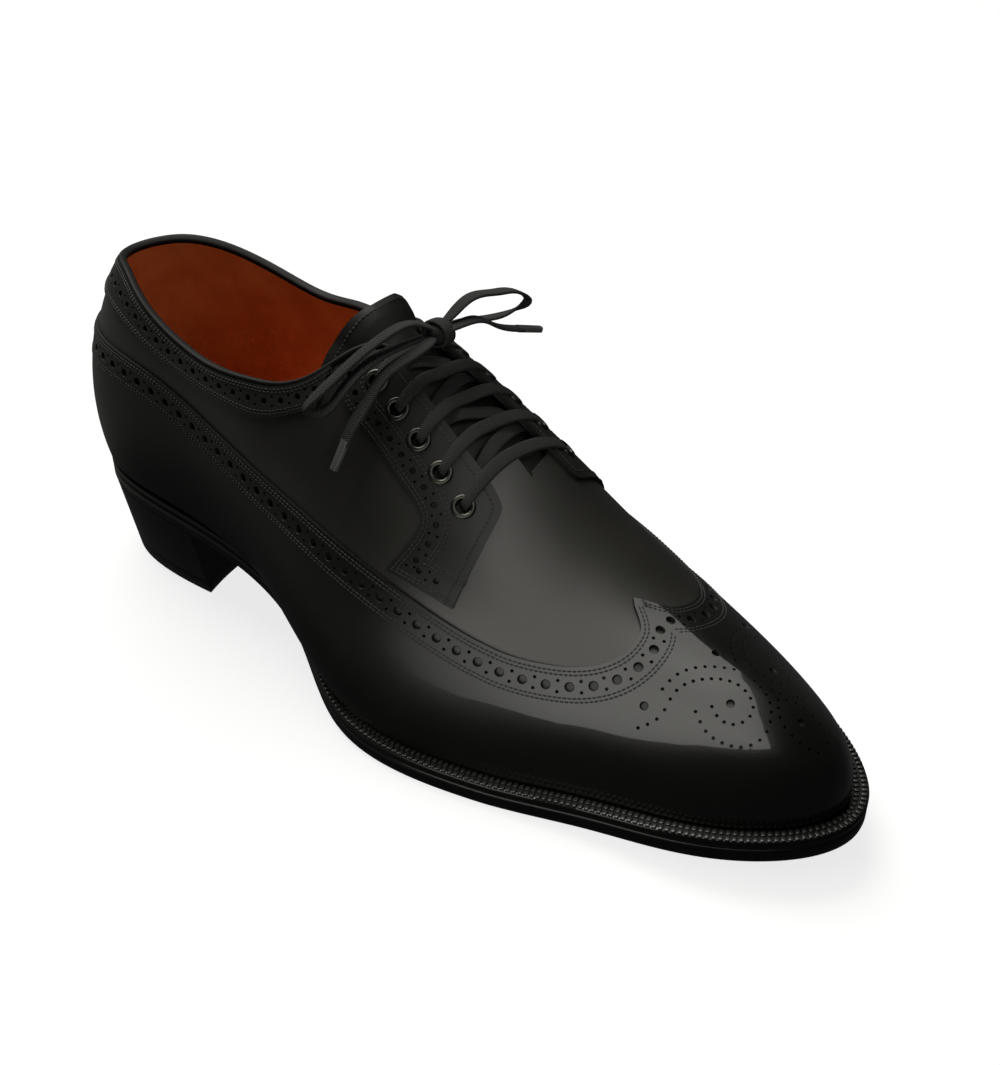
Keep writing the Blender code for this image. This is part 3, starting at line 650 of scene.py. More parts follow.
def calf(name, dark, light, rough, toe_rough, coat, coat_rough, specular):
    """Black calf: soft cloudy colour, fine grain and a gloss that grows towards the polished toe."""
    made, tree, shader = shader_of(name)
    colour = mixed(tree, ranged(tree, noise(tree, 38.0, 3.0), 0.35, 0.65, 0.0, 1.0), dark, light)
    tree.links.new(colour, shader.inputs["Base Color"])
    place = node(tree, "ShaderNodeTexCoord")
    parts = node(tree, "ShaderNodeSeparateXYZ")
    tree.links.new(place.outputs["Object"], parts.inputs["Vector"])
    polish = ranged(tree, parts.outputs["X"], 0.03, 0.10, rough, toe_rough)
    tree.links.new(polish, shader.inputs["Roughness"])
    bumped(tree, shader, noise(tree, 2200.0), 0.12, 0.0002)
    tree.links.new(ranged(tree, parts.outputs["X"], 0.020, 0.075, 0.0, coat), shader.inputs["Coat Weight"])
    dial(shader, {"Coat Roughness": coat_rough, "Specular IOR Level": specular})
    return made


def plain(name, dark, light, rough, grain_scale, grain_strength, metallic=0.0, specular=0.5):
    made, tree, shader = shader_of(name)
    colour = mixed(tree, ranged(tree, noise(tree, 60.0, 3.0), 0.3, 0.7, 0.0, 1.0), dark, light)
    tree.links.new(colour, shader.inputs["Base Color"])
    bumped(tree, shader, noise(tree, grain_scale), grain_strength, 0.0003)
    dial(shader, {"Roughness": rough, "Metallic": metallic, "Specular IOR Level": specular})
    return made


def woven(name, dark, light):
    """Flat cotton lace: a herringbone that follows its own length."""
    made, tree, shader = shader_of(name)
    place = node(tree, "ShaderNodeUVMap", uv_map="weave")
    parts = node(tree, "ShaderNodeSeparateXYZ")
    tree.links.new(place.outputs["UV"], parts.inputs["Vector"])

    def sums(operation, first, second):
        step = node(tree, "ShaderNodeMath", operation=operation)
        for socket, value in zip(step.inputs, (first, second)):
            if isinstance(value, float):
                socket.default_value = value
            else:
                tree.links.new(value, socket)
        return step.outputs[0]

    lean = sums("PINGPONG", sums("MULTIPLY", parts.outputs["Y"], 8.0), 1.0)
    phase = sums("ADD", sums("MULTIPLY", parts.outputs["X"], 7.0), lean)
    height = ranged(tree, sums("PINGPONG", phase, 0.5), 0.0, 0.5, 0.0, 1.0)
    tree.links.new(mixed(tree, height, dark, light), shader.inputs["Base Color"])
    bumped(tree, shader, height, 0.6, 0.0003)
    dial(shader, {"Roughness": 0.75, "Specular IOR Level": 0.25})
    return made


satin_calf = calf("satin_calf", (0.008, 0.0077, 0.0058), (0.011, 0.0106, 0.0082), 0.4, 0.38, 0.0, 0.3, 0.75)
facing_calf = calf("facing_calf", (0.005, 0.0049, 0.0043), (0.008, 0.0078, 0.007), 0.42, 0.4, 0.0, 0.3, 0.36)
polished_calf = calf(
    "polished_calf", (0.0018, 0.0018, 0.0014), (0.003, 0.003, 0.0024), 0.4, 0.26, 0.9, 0.05, 0.4
)
tongue_calf = calf("tongue_calf", (0.005, 0.0049, 0.0042), (0.008, 0.0078, 0.0068), 0.45, 0.45, 0.0, 0.3, 0.3)
# The base's cut faces, mostly the floors of its holes: the satin calf a little darker, as painted shade
# inside the holes.
hole_floor_painted_shade = calf("hole_floor_painted_shade", (0.007, 0.0068, 0.0054), (0.010, 0.0096, 0.0077), 0.42, 0.4, 0.0, 0.3, 0.5)
binding_calf = plain(
    "binding_calf", (0.006, 0.006, 0.0055), (0.009, 0.009, 0.008), 0.65, 2200.0, 0.2, specular=0.2
)
cut_edge = plain("cut_edge", (0.004, 0.0039, 0.0034), (0.007, 0.0068, 0.006), 0.6, 2000.0, 0.2, specular=0.25)
thread = plain("black_thread", (0.010, 0.010, 0.0095), (0.017, 0.017, 0.016), 0.6, 3000.0, 0.2, specular=0.3)
edge_ink = plain("inked_edge", (0.0016, 0.0016, 0.0015), (0.003, 0.003, 0.0028), 0.30, 700.0, 0.10)
# The wheel marks are painted many times lighter than the welt they are pressed into: painted highlight on the
# marks.
wheel_mark_highlight = plain("wheeled_welt_painted_highlight", (0.012, 0.012, 0.0115), (0.020, 0.020, 0.019), 0.30, 700.0, 0.10)
stacked = plain("stacked_heel", (0.0014, 0.0014, 0.0013), (0.0025, 0.0025, 0.0023), 0.22, 500.0, 0.06)
tan = plain("tan_lining", (0.66, 0.215, 0.062), (0.78, 0.29, 0.095), 0.5, 1500.0, 0.2)
lace_cotton = woven("lace_cotton", (0.006, 0.006, 0.0062), (0.030, 0.030, 0.030))
gunmetal = plain("gunmetal", (0.045, 0.045, 0.040), (0.060, 0.060, 0.053), 0.36, 900.0, 0.04, 1.0)
tip_film = plain("lace_tip", (0.06, 0.06, 0.06), (0.08, 0.08, 0.08), 0.3, 900.0, 0.05)


# Camera.

camera_data = bpy.data.cameras.new("camera")
camera_data.lens = CAMERA_LENS
camera_data.sensor_width = 36.0
camera_data.shift_x, camera_data.shift_y = CAMERA_SHIFT
camera_data.clip_start = 0.01
camera = placed("camera", camera_data)
camera.location = Vector(to_metres(CAMERA_AT))
aim = Vector(to_metres(CAMERA_TO)) - camera.location
camera.rotation_euler = aim.to_track_quat("-Z", "Y").to_euler()
bpy.context.scene.camera = camera


# Bow: its knot, and the routes of its loops and ends, each from the knot.

KNOT_CENTRE, KNOT_SIZE = (149.3, 2.5, 117.7), (4.4, 3.8, 3.2)
WRAP_SIZE, WRAP_WIDE, WRAP_ACROSS = (4.6, 0.6, 3.6), 4.6, (0.0, 1.0, -0.16)
BOW_HEART = np.array([150.0, 0.0, 84.0])
PINCH, PINCH_AT_KNOT, PINCH_AT_FOLD = 0.35, 0.06, 0.05
TIP_FROM, TIP_LONG, TIP_WIDE, TIP_THICK, TIP_ROWS = -1.5, 8.0, (2.9, 2.3), 2.0, 12
BOW = {
    "lace_loop_inner": [
        (149.0, 1.0, 119.5), (145.5, -2.5, 121.6), (142.5, -12.0, 121.4), (137.0, -23.0, 114.5),
        (131.0, -31.5, 106.0), (129.0, -34.5, 101.5), (132.5, -33.5, 101.5), (137.5, -28.0, 107.5),
        (142.0, -18.5, 115.4), (145.5, -9.0, 117.4), (147.5, -2.0, 117.5),
    ],
    "lace_end_inner": [
        (149.5, 0.5, 117.6), (150.5, -4.5, 117.2), (149.5, -10.5, 115.8), (146.5, -18.5, 112.4),
        (145.0, -26.0, 105.5), (143.5, -31.5, 99.0), (142.9, -34.0, 95.0),
    ],
    "lace_loop_outer": [
        (149.5, 4.0, 119.5), (150.5, 8.0, 122.0), (152.0, 14.0, 125.0), (154.0, 24.0, 123.5),
        (156.0, 34.0, 120.0), (157.0, 37.0, 116.5), (154.5, 33.5, 114.0), (151.5, 24.0, 114.2),
        (149.5, 14.0, 116.5), (149.0, 6.0, 117.6),
    ],
    "lace_end_outer": [
        (149.5, 0.5, 118.2), (153.0, 6.0, 119.6), (155.5, 13.0, 119.6), (157.0, 21.0, 114.5),
        (159.5, 30.0, 110.5),
    ],
}


def across_of(path):
    """Width directions of a lace whose flat side looks away from the bow's heart, without sudden turns."""
    run = heading(path)
    across = unit(np.cross(path - BOW_HEART, run))
    for k in range(1, len(across)):
        if across[k] @ across[k - 1] < 0:
            across[k] *= -1
    for _ in range(6):
        across[1:-1] = across[:-2] + 2 * across[1:-1] + across[2:]
        across = unit(across - (across * run).sum(1, keepdims=True) * run)
    return across


def pinched(share, where, reach):
    """How much a lace narrows round a share of its length."""
    return 1 - PINCH * np.exp(-(((share - where) / reach) ** 2))


def build_knot():
    bm = bmesh.new()
    bmesh.ops.create_icosphere(bm, subdivisions=3, radius=MM)
    bmesh.ops.scale(bm, vec=KNOT_SIZE, verts=bm.verts)
    bmesh.ops.translate(bm, vec=to_metres(KNOT_CENTRE), verts=bm.verts)
    knot = add_piece("knot_core", bm, lace_cotton, "lace")
    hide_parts("lace_knot")
    angle = np.linspace(0, 2 * np.pi, 33)
    turn = np.stack([np.cos(angle), np.sin(angle), np.sin(angle)], -1)
    wrap = np.array(KNOT_CENTRE) + turn * WRAP_SIZE
    wide = unit(np.tile(WRAP_ACROSS, (len(wrap), 1)))
    ribbon("knot_wrap", wrap, wide, np.full(len(wrap), WRAP_WIDE), LACE_THICK, lace_cotton, "lace")


def build_bow():
    for name, route in BOW.items():
        path, share = smooth_path(route, 1.0)
        across = across_of(path)
        widths = LACE_WIDTH * pinched(share, 0.0, PINCH_AT_KNOT)
        if "loop" in name:
            fold = np.linalg.norm(path - path[0], axis=1).argmax() / (len(path) - 1)
            widths *= pinched(share, fold, PINCH_AT_FOLD) * pinched(share, 1.0, PINCH_AT_KNOT)
        lace = ribbon(name + "_lace", path, across, widths, LACE_THICK, lace_cotton, "lace")
        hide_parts(name)
        facts = {
            "exit": tuple(to_metres(KNOT_CENTRE)),
            "length": float(reach_of(path)[-1] * MM),
            "diameter": LACE_WIDTH * MM,
            "stiffness": "limp",
            "lay": "loose",
            "path": [tuple(point) for point in to_metres(path)],
        }
        if "loop" in name:
            continue
        run = unit(path[-1] - path[-4])
        far = path[-1] + run * np.linspace(TIP_FROM, TIP_LONG, TIP_ROWS)[:, None]
        flat = np.tile(across[-1], (TIP_ROWS, 1))
        tip = ribbon(name + "_tip", far, flat, np.linspace(*TIP_WIDE, TIP_ROWS), TIP_THICK, tip_film, "lace")


build_knot()
build_bow()


# Eyelets and the lace through them.

EyeletPlace = namedtuple("EyeletPlace", "name side t up")


def eyelet_places():
    """Where each eyelet sits on the last, each side from the top down."""
    places = []
    for side, label in SIDES:
        for k, share in enumerate(np.linspace(0.0, 1.0, EYELET_PAIRS)):
            along, up = np.array(EYELET_TOP) + np.subtract(EYELET_LOW, EYELET_TOP) * share
            places.append(EyeletPlace(f"eyelet_{label}_{k + 1}", side, float(t_mark(side, along)), up))
    return places


EYELETS = eyelet_places()
EYELET_PROFILE = [
    (2.1, -2.4), (2.1, 1.1), (2.3, 1.4), (2.75, 1.6), (3.25, 1.5), (3.6, 1.2), (3.75, 0.7), (2.5, 0.7),
    (2.5, -2.4),
]


def eyelet_stands(side=None):
    t, v = np.array([(spot.t, spot.up) for spot in EYELETS if side in (None, spot.side)]).T
    return stands((t, v, unit(run_at(t, v))))


def build_eyelets():
    groups = [scatter(profile_shape(EYELET_PROFILE, 28), eyelet_stands())]
    rings = joined("eyelet_rings", groups, gunmetal, "eyelet", 50)
    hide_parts(*[spot.name for spot in EYELETS])


# Half of a lace bar, from inside its eyelet to the ridge: share of the way up, height over the last, width.
BAR_HALF = [
    (0.00, -1.5, 3.0), (0.02, 0.5, 3.1), (0.12, 1.3, 3.7), (0.30, 1.25, 4.2), (0.52, 1.0, 4.4),
    (0.75, 0.3, 4.4),
]
BAR_CREST = (1.0, -0.2, 4.4)
# How far each bar, from the top one down, hangs below its crest's height.
BAR_SINK = [1.0, 3.0, 3.4, 3.0, 0.6]
# The same for a hidden run from one eyelet to the next one down on the other side.
UNDER_HALF = [(0.05, -2.4, 3.2), (0.45, -2.0, 4.2), (0.70, -1.0, 4.5)]
UNDER_CREST = (1.0, -0.9, 4.5)
UNDER_SINK = [2.6, 3.6, 3.4, 2.6]


def lace_run(near, far, half, crest, sink):
    """A lace from eyelet to eyelet, straight in plan, at heights over the last and sunk at its middle."""
    start, end = skin(near.t, near.up), skin(far.t, far.up)
    share, lift, widths = np.array(half + [crest] + half[::-1]).T
    share = share / 2
    share[len(half) :] = 1 - share[len(half) :]
    t, v, _ = on_top((start + (end - start) * share[:, None])[:, :2])
    route = skin(t, v, lift - sink * np.sin(np.pi * share) ** 4)
    path, where = smooth_path(route, 1.0)
    reach = reach_of(route)
    out = normal_at(near.t, near.up) + normal_at(far.t, far.up)
    across = np.tile(unit(np.cross(end - start, out)), (len(path), 1))
    return path, across, np.interp(where, reach / reach[-1], widths)


def build_lace_bars():
    inner, outer = EYELETS[:EYELET_PAIRS], EYELETS[EYELET_PAIRS:]
    for k, sink in enumerate(BAR_SINK):
        run = lace_run(inner[k], outer[k], BAR_HALF, BAR_CREST, sink)
        bar = ribbon(f"lace_over_{k + 1}", *run, LACE_THICK, lace_cotton, "lace")
        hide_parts(f"lace_bar_{k + 1}")
    for k, sink in enumerate(UNDER_SINK):
        near, far = (inner[k + 1], outer[k]) if k % 2 else (inner[k], outer[k + 1])
        run = lace_run(near, far, UNDER_HALF, UNDER_CREST, sink)
        ribbon(f"lace_under_{k + 1}", *run, UNDER_THICK, lace_cotton, "lace")


# Lines that the panels are cut, punched and stitched along.

REAR_COLUMNS, BOW_COLUMNS, WING_ROWS = 110, 104, 40


def wing_shift(along, side):
    return WING_OUTER_SHIFT * np.clip((along - 180) / 40, 0, 1) * (side == OUTER)


def wing_seam(side):
    """The wing's stitched line on one side, from behind the heel to its peak on the ridge."""
    ends = {INNER: (0.0, BALL_T), OUTER: (GIRTH, t_mark(OUTER, STATIONS[NAMES.index("ball_in")].x))}
    rear = np.linspace(*ends[side], REAR_COLUMNS + 1)
    along = along_of(rear)
    along[0] = WING_SEAM[0].along
    start = Mark(WING_BOW_FROM, float(wing_side(WING_BOW_FROM)))
    rows = np.array([start] + [mark for mark in WING_SEAM if mark.along > WING_BOW_FROM], float)
    reach = reach_of(rows * [1.0, 90.0])
    bow_along, bow_up = spline(reach, rows)(np.linspace(0, reach[-1], BOW_COLUMNS + 1))[1:].T
    bow_t = t_mark(side, bow_along + wing_shift(bow_along, side))
    bow_t += (t_ridge(side, WING_PEAK) - bow_t[-1]) * np.clip((bow_up - 0.6) / 0.4, 0, 1) ** 2
    v = np.concatenate([wing_side(along - wing_shift(along, side)), bow_up])
    return np.concatenate([rear, bow_t]), np.clip(v, 0.0, 1.0)


def wing_edge(side):
    """The wing's cut edge, a little outside its stitched line."""
    t, v = beside(wing_seam(side), -side * EDGE_OUT)
    t[0] = 0.0 if side == INNER else GIRTH
    t[-1] = t_ridge(side, WING_PEAK - WING_TIP)
    v[-1] = 1.0
    return t, np.clip(v, 0.0, 1.0)


facing_row = spline(np.arange(len(FACING)), [row[1:] for row in FACING])


def facing_spot(side, across, w):
    """A spot of the facing: across from its outer to its inner edge, w from the collar down to its foot."""
    row = facing_row(np.asarray(w) * (len(FACING) - 1))
    inner, outer = t_mark(side, row[..., 0]), t_mark(side, row[..., 2])
    return outer + (inner - outer) * across, row[..., 3] + (row[..., 1] - row[..., 3]) * across


HOLE_RIM, HOLE_RIM_DEEP = 0.22, 0.3
BIG_HOLE_FLOOR, SMALL_HOLE_FLOOR, EYELET_HOLE_FLOOR = -0.7, -1.62, -6.0
EYELET_HOLE = 2.5


def punch_shape(radius, steps, floor):
    """A hole's cutter: straight below and opened a little at the rim."""
    top = PANEL_FACE + 1.2
    rim = radius * (1 + HOLE_RIM)
    low, high = PANEL_FACE - HOLE_RIM_DEEP, PANEL_FACE + 0.05
    wall = [(radius, floor), (radius, low), (rim, high), (rim, top)]
    return profile_shape([(0.0, floor), *wall, (0.0, top)], steps)


hole_groups = []


def holes_for(rows, radius, steps, floor):
    """Cutter shapes for rows of holes, which are also kept for the leather below."""
    shape = punch_shape(radius, steps, floor)
    groups = [scatter(shape, stands(spots)) for spots in rows]
    hole_groups.extend(groups)
    return groups


def big_holes(row, radius):
    """Holes whose floor shows a little below the panel."""
    return holes_for([row], radius, 16, BIG_HOLE_FLOOR)


def small_holes(rows, radius):
    """Pinholes, too deep for their floor to show."""
    return holes_for(rows, radius, 8, SMALL_HOLE_FLOOR)


def band_holes(row, band):
    """A row of big holes, with pairs of small ones between them."""
    middle = tuple(part[:-1] for part in spaced(row, band.pitch, start=1.0))
    frames = stands(middle)
    pairs = []
    for shift in (-band.spread, band.spread):
        pairs.append((*settle(*middle[:2], frames.centre + frames.across * shift), middle[2]))
    return big_holes(spaced(row, band.pitch), band.big) + small_holes(pairs, band.small)


def eyelet_holes(side=None):
    return [scatter(punch_shape(EYELET_HOLE, 20, EYELET_HOLE_FLOOR), eyelet_stands(side))]


stitch_groups = []
LYING = Vector((0, 0, 1)).rotation_difference(Vector((1, 0, 0))).to_matrix()


def stitch(line, lift):
    """A row of stitches along a line. lift is one height over the last, or one for each of its points."""
    bm = bmesh.new()
    bmesh.ops.create_uvsphere(bm, u_segments=6, v_segments=4, radius=0.5)
    bmesh.ops.rotate(bm, verts=bm.verts, cent=(0, 0, 0), matrix=LYING)
    spots = spaced(line, STITCH_PITCH)
    reach = reach_of(last(*line))
    lifts = np.broadcast_to(lift, line[0].shape)
    lifts = np.interp(np.linspace(0.0, reach[-1], len(spots[0])), reach, lifts)
    sizes = (STITCH_PITCH * STITCH_LONG, STITCH_WIDE, STITCH_TALL)
    stitch_groups.append(scatter(shape_of(bm), stands(spots, lifts), sizes))


def stitch_rows(edge, turn, distances, lift):
    for distance in distances:
        stitch(row_beside(edge, turn, distance), lift)


def ease_ridge(bm, start, reach=11.0, passes=16):
    """Round off the ridge ahead of start, so that light runs smoothly over it."""
    spots = np.array([vert.co[:] for vert in bm.verts]) / MM + ORIGIN
    middle = ridge_yz(np.clip(spots[:, 0], RIDGE_BACK, RIDGE_FRONT))
    high = (spots[:, 0] > start) & (spots[:, 2] > middle[:, 1] - 12)
    for share in np.linspace(0.4, 1.4, passes):
        near = high & (np.abs(spots[:, 1] - middle[:, 0]) < reach * share)
        soft = [vert for vert, keep in zip(bm.verts, near) if keep and not vert.is_boundary]
        bmesh.ops.smooth_vert(bm, verts=soft, factor=0.5, use_axis_x=True, use_axis_y=True, use_axis_z=True)


# How far the throat's cut runs ahead of its lowest bar, and how far the wall stays back under the facings.
THROAT_AHEAD, THROAT_TUCK = 5.5, 0.05


def build_base():
    """Vamp and quarters: one wall from the feather up to the collar and the throat."""

    def place(u, w):
        t = GIRTH * u
        along = along_of(t)
        tucked = THROAT_TUCK * np.clip((along - 140) / 6, 0, 1) * np.clip((188 - along) / 3, 0, 1)
        cut = topline(along - THROAT_AHEAD * np.clip((along - 165) / 12, 0, 1))
        return skin(t, w * (cut - tucked), BASE_FACE)

    holes = hole_groups + eyelet_holes()
    bm = grid(400, 48, place)
    # The base's hole floors and cut faces take the slightly darker calf, painted shade inside the holes.
    made = panel("vamp_and_quarters", bm, BASE_THICK, satin_calf, "calf", holes, hole_floor_painted_shade)
    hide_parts("upper")


def wing_columns(side, edge):
    """Sections and heights of the wing's grid: columns leave the cut edge and turn down to the feather."""
    edge_t, edge_v = edge
    rear = edge_t[: REAR_COLUMNS + 1]
    foot_t = np.concatenate([rear, np.linspace(rear[-1], TOE_T, BOW_COLUMNS + 1)[1:]])
    ahead = np.abs(foot_t - edge_t)
    fall = (edge_v - WING_FOOT_UP) * 70.0
    share = np.linspace(0.0, 1.0, WING_ROWS + 1)[None] * (ahead + fall)[:, None]
    across = np.clip(share / np.maximum(ahead, 1e-6)[:, None], 0, 1)
    down = np.clip((share - ahead[:, None]) / fall[:, None], 0, 1)
    t = edge_t[:, None] + (foot_t - edge_t)[:, None] * across
    peak_x = WING_PEAK - WING_TIP
    t[-1] = t_ridge(side, peak_x + (RIDGE_FRONT - peak_x) * across[-1])
    t[-1][across[-1] >= 1] = TOE_T
    return t, edge_v[:, None] + (WING_FOOT_UP - edge_v)[:, None] * down


def build_wing():
    """The toe cap with its wings."""
    edges = {side: wing_edge(side) for side in (INNER, OUTER)}
    half = REAR_COLUMNS + BOW_COLUMNS
    inner, outer = (wing_columns(side, edges[side]) for side in (INNER, OUTER))
    outer[1][-1] = inner[1][-1]
    outer[0][-1] = t_ridge(OUTER, station_row(inner[0][-1])[:, 2])
    outer[0][-1][inner[0][-1] >= TOE_T - 1e-6] = TOE_T

    def place(u, w):
        k = np.rint(u * 2 * half).astype(int)
        near = k <= half
        j = np.where(near, k, 2 * half - k)
        row = np.rint((1 - w) * WING_ROWS).astype(int)
        t, v = (np.where(near, a[j, row], b[j, row]) for a, b in zip(inner, outer))
        return skin(t, v, PANEL_FACE)

    holes = []
    for side, edge in edges.items():
        holes += band_holes(row_beside(edge, side, WING_BAND.hole_row), WING_BAND)
        stitch_rows(edge, side, WING_BAND.near_rows + WING_BAND.far_rows, PANEL_FACE)
    holes += medallion_holes()
    bm = grid(2 * half, WING_ROWS, place)
    ease_ridge(bm, 222.0)
    made = panel("wing_and_toe", bm, PANEL_THICK, polished_calf, "calf", holes)
    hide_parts("wing_cap")


# The toe's medallion in plan: scrolls of small holes on the inner half, single big holes, and the line that
# it is mirrored on.
MEDALLION_LINES = [
    [(245.7, -21), (247, -16.3), (250.1, -11.6), (254.7, -7.6), (259, -4.9)],
    [
        (244, -30), (248.6, -25.5), (249, -20.7), (251.5, -15.5), (255.6, -11.7), (260.7, -9.1),
        (266.2, -9.6), (269.8, -13), (268.2, -17.6), (262.1, -19), (259.8, -17.9),
    ],
    [
        (256.6, -21), (261.3, -23.1), (266.8, -22.9), (272.6, -20.4), (275.5, -15.9), (274.5, -10.9),
        (270.5, -6.6), (265.5, -4.6),
    ],
    [(273.6, -5.6), (276.7, -9.9), (282.1, -11.7), (286.5, -11), (289, -9.6)],
]
MEDALLION_BIG = [(243.2, -26.2), (263.7, -14.6), (252, -3), (281.7, -6.9)]
MEDALLION_PITCH, MEDALLION_APART = 2.6, 2.2
MEDALLION_SMALL_HOLE, MEDALLION_BIG_HOLE = 0.46, 1.1
MEDALLION_FROM, MEDALLION_TURN = np.array([252.0, -3.0]), np.radians(-6.7)


def medallion_holes():
    cos, sin = np.cos(2 * MEDALLION_TURN), np.sin(2 * MEDALLION_TURN)
    mirror = np.array([[cos, sin], [sin, -cos]])

    def both(plan):
        plan = np.asarray(plan, float)
        across = MEDALLION_FROM + (plan - MEDALLION_FROM) @ mirror
        return np.vstack([plan, across[np.linalg.norm(across - plan, axis=1) > MEDALLION_APART]])

    dots = []
    for line in MEDALLION_LINES:
        path, _ = smooth_path(line, 0.2)
        reach = reach_of(path)
        spots = np.linspace(0, reach[-1], int(round(reach[-1] / MEDALLION_PITCH)) + 1)
        dots.append(sample(path, reach, spots))
    small, big = on_top(both(np.vstack(dots))), on_top(both(MEDALLION_BIG))
    return small_holes([small], MEDALLION_SMALL_HOLE) + big_holes(big, MEDALLION_BIG_HOLE)


COLLAR_BELOW = 0.006


def build_collar():
    ends = COLLAR_BAND_LOW[-1].along
    start, stop = t_mark(OUTER, ends), t_mark(INNER, ends) + GIRTH

    def spot(u, w):
        t = start + (stop - start) * u
        along = along_of(t)
        return t, band_low(along) + (topline(along) - COLLAR_BELOW - band_low(along)) * w

    share = np.linspace(0.0, 1.0, 500)
    low, middle, high = (spot(share, 0.0 * share + w) for w in (0.0, COLLAR_MIDDLE, 1.0))
    stitch_rows(low, 1, COLLAR_BAND.near_rows, PANEL_FACE)
    stitch_rows(high, -1, COLLAR_BAND.far_rows, PANEL_FACE)
    bm = grid(170, 8, lambda u, w: skin(*spot(u, w), PANEL_FACE))
    made = panel("collar_strip", bm, PANEL_THICK, satin_calf, "calf", band_holes(middle, COLLAR_BAND))
    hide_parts("collar_band")


FACING_FRONT_ROW = 2.6


def build_facings():
    for side, label in SIDES:

        def place(u, w):
            return skin(*facing_spot(side, u if side == OUTER else 1 - u, w), FACING_FACE)

        share = np.linspace(0.0, 1.0, 300)
        rear = facing_spot(side, 0.0 * share, share)
        foot = facing_spot(side, share[1:], 0.0 * share[1:] + 1.0)
        edge = tuple(np.concatenate(parts) for parts in zip(rear, foot))
        front = facing_spot(side, 0.0 * share + 1.0, share)
        row = row_beside(edge, -side, FACING_BAND.hole_row)
        clear = gap_to(front, row) > FACING_BAND.hole_row
        holes = band_holes(tuple(part[clear] for part in row), FACING_BAND) + eyelet_holes(side)
        stitch_rows(edge, -side, FACING_BAND.near_rows + FACING_BAND.far_rows, FACING_FACE)
        stitch_rows(front, side, [FACING_FRONT_ROW], FACING_FACE)
        bm = grid(26, 70, place)
        made = panel(f"facing_{label}_leather", bm, FACING_THICK, facing_calf, "calf", holes)
        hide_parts(f"facing_{label}")


TongueRow = namedtuple("TongueRow", "x in_up out_up depth_in depth_mid depth_out")
TONGUE = rows_of(
    TongueRow,
    (126.5, 0.72, 0.84, 2.7, -0.5, -3.0),
    (128.5, 0.72, 0.84, 3.0, -0.4, -2.6),
    (131.0, 0.72, 0.83, 3.2, 0.0, -1.2),
    (134.0, 0.73, 0.81, 3.2, 0.9, 1.2),
    (137.0, 0.74, 0.76, 3.2, 1.9, 3.1),
    (140.0, 0.74, 0.73, 3.3, 2.3, 2.9),
    (146.0, 0.73, 0.71, 3.5, 4.0, 2.5),
    (152.0, 0.72, 0.72, 3.6, 5.6, 2.5),
    (164.0, 0.68, 0.68, 3.8, 6.0, 2.5),
    (172.0, 0.67, 0.67, 3.8, 5.4, 2.5),
    (180.0, 0.66, 0.66, 3.9, 3.6, 2.5),
    (186.0, 0.67, 0.67, 3.9, 2.8, 2.5),
    (206.0, 0.72, 0.72, 4.0, 3.4, 4.0),
)
TONGUE_THICK, TONGUE_SLANT, TONGUE_STITCHES = 1.6, 5.8, 0.055


def build_tongue():
    rows = np.array(TONGUE)

    def spot(u, w):
        x = rows[0, 0] + (rows[-1, 0] - rows[0, 0]) * w**1.3
        in_up, out_up, deep_in, deep_mid, deep_out = sample(rows[:, 1:], rows[:, 0], x).T
        across = 2 * u - 1
        inner = across >= 0
        bulge = np.sin(np.pi / 2 * np.clip(across, 0, 1)) ** 1.25
        x = x - TONGUE_SLANT * bulge * (1 - w) ** 3
        up = 1 - np.abs(across) * (1 - np.where(inner, in_up, out_up))
        side = np.clip(1.5 * np.abs(across), 0, 1) ** 2
        deep = deep_mid + (np.where(inner, deep_in, deep_out) - deep_mid) * side
        return np.where(inner, t_ridge(INNER, x), t_ridge(OUTER, x)), up, -deep

    for low, high in ((0.04, 0.49), (0.51, 0.96)):
        share = np.linspace(low, high, 120)
        t, up, lift = spot(share, 0.0 * share + TONGUE_STITCHES)
        stitch((t, up), lift)
    bm = grid(40, 80, lambda u, w: skin(*spot(u, w)))
    made = panel("tongue_leather", bm, TONGUE_THICK, tongue_calf, "calf")
    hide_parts("tongue")


LINING_FOOT, LINING_BELOW, LINING_BACK = 0.02, 0.008, 0.15
BINDING_END, BINDING_FACE, BINDING_WIDE, BINDING_THICK = 146.0, -0.75, 2.9, 1.5


def build_lining():
    """The lining up to the collar, which stays back in the throat, and the binding over its edge."""

    def place(u, w):
        t = GIRTH * (1 - u)
        along = along_of(t)
        top = topline(along) - LINING_BELOW - LINING_BACK * np.clip((along - 131) / 8, 0, 1)
        return skin(t, LINING_FOOT + (top - LINING_FOOT) * w, LINING_FACE - LINING_THICK)

    panel("tan_lining_leather", grid(220, 24, place), LINING_THICK, tan, "lining", eyelet_holes())
    t = np.linspace(t_mark(OUTER, BINDING_END), t_mark(INNER, BINDING_END) + GIRTH, 320)
    line = t, topline(along_of(t))
    wide = np.full(len(t), BINDING_WIDE)
    path = skin(*line, BINDING_FACE)
    ribbon("collar_binding", path, normal_at(*line), wide, BINDING_THICK, binding_calf, "calf", around=10)


def sole_plan(t, offset):
    """The feather line moved out in plan by the sole's edge and an offset."""
    row = station_row(t)
    return row[:, :2] + outward(t) * (row[:, 6] + offset)[:, None]


def outline(offset):
    """The sole's outline as two functions of x, for the inner and the outer side, and its ends."""
    plan = sole_plan(np.linspace(0.0, GIRTH, 2400, endpoint=False), offset)
    back, front = plan[:, 0].argmin(), plan[:, 0].argmax()
    ring = np.roll(plan, -back, axis=0)
    tip = (front - back) % len(plan)
    inner, outer = ring[: tip + 1], np.vstack([ring[:1], ring[tip:][::-1]])
    return (
        lambda x: np.interp(x, inner[:, 0], inner[:, 1]),
        lambda x: np.interp(x, outer[:, 0], outer[:, 1]),
        plan[back, 0],
        plan[front, 0],
    )


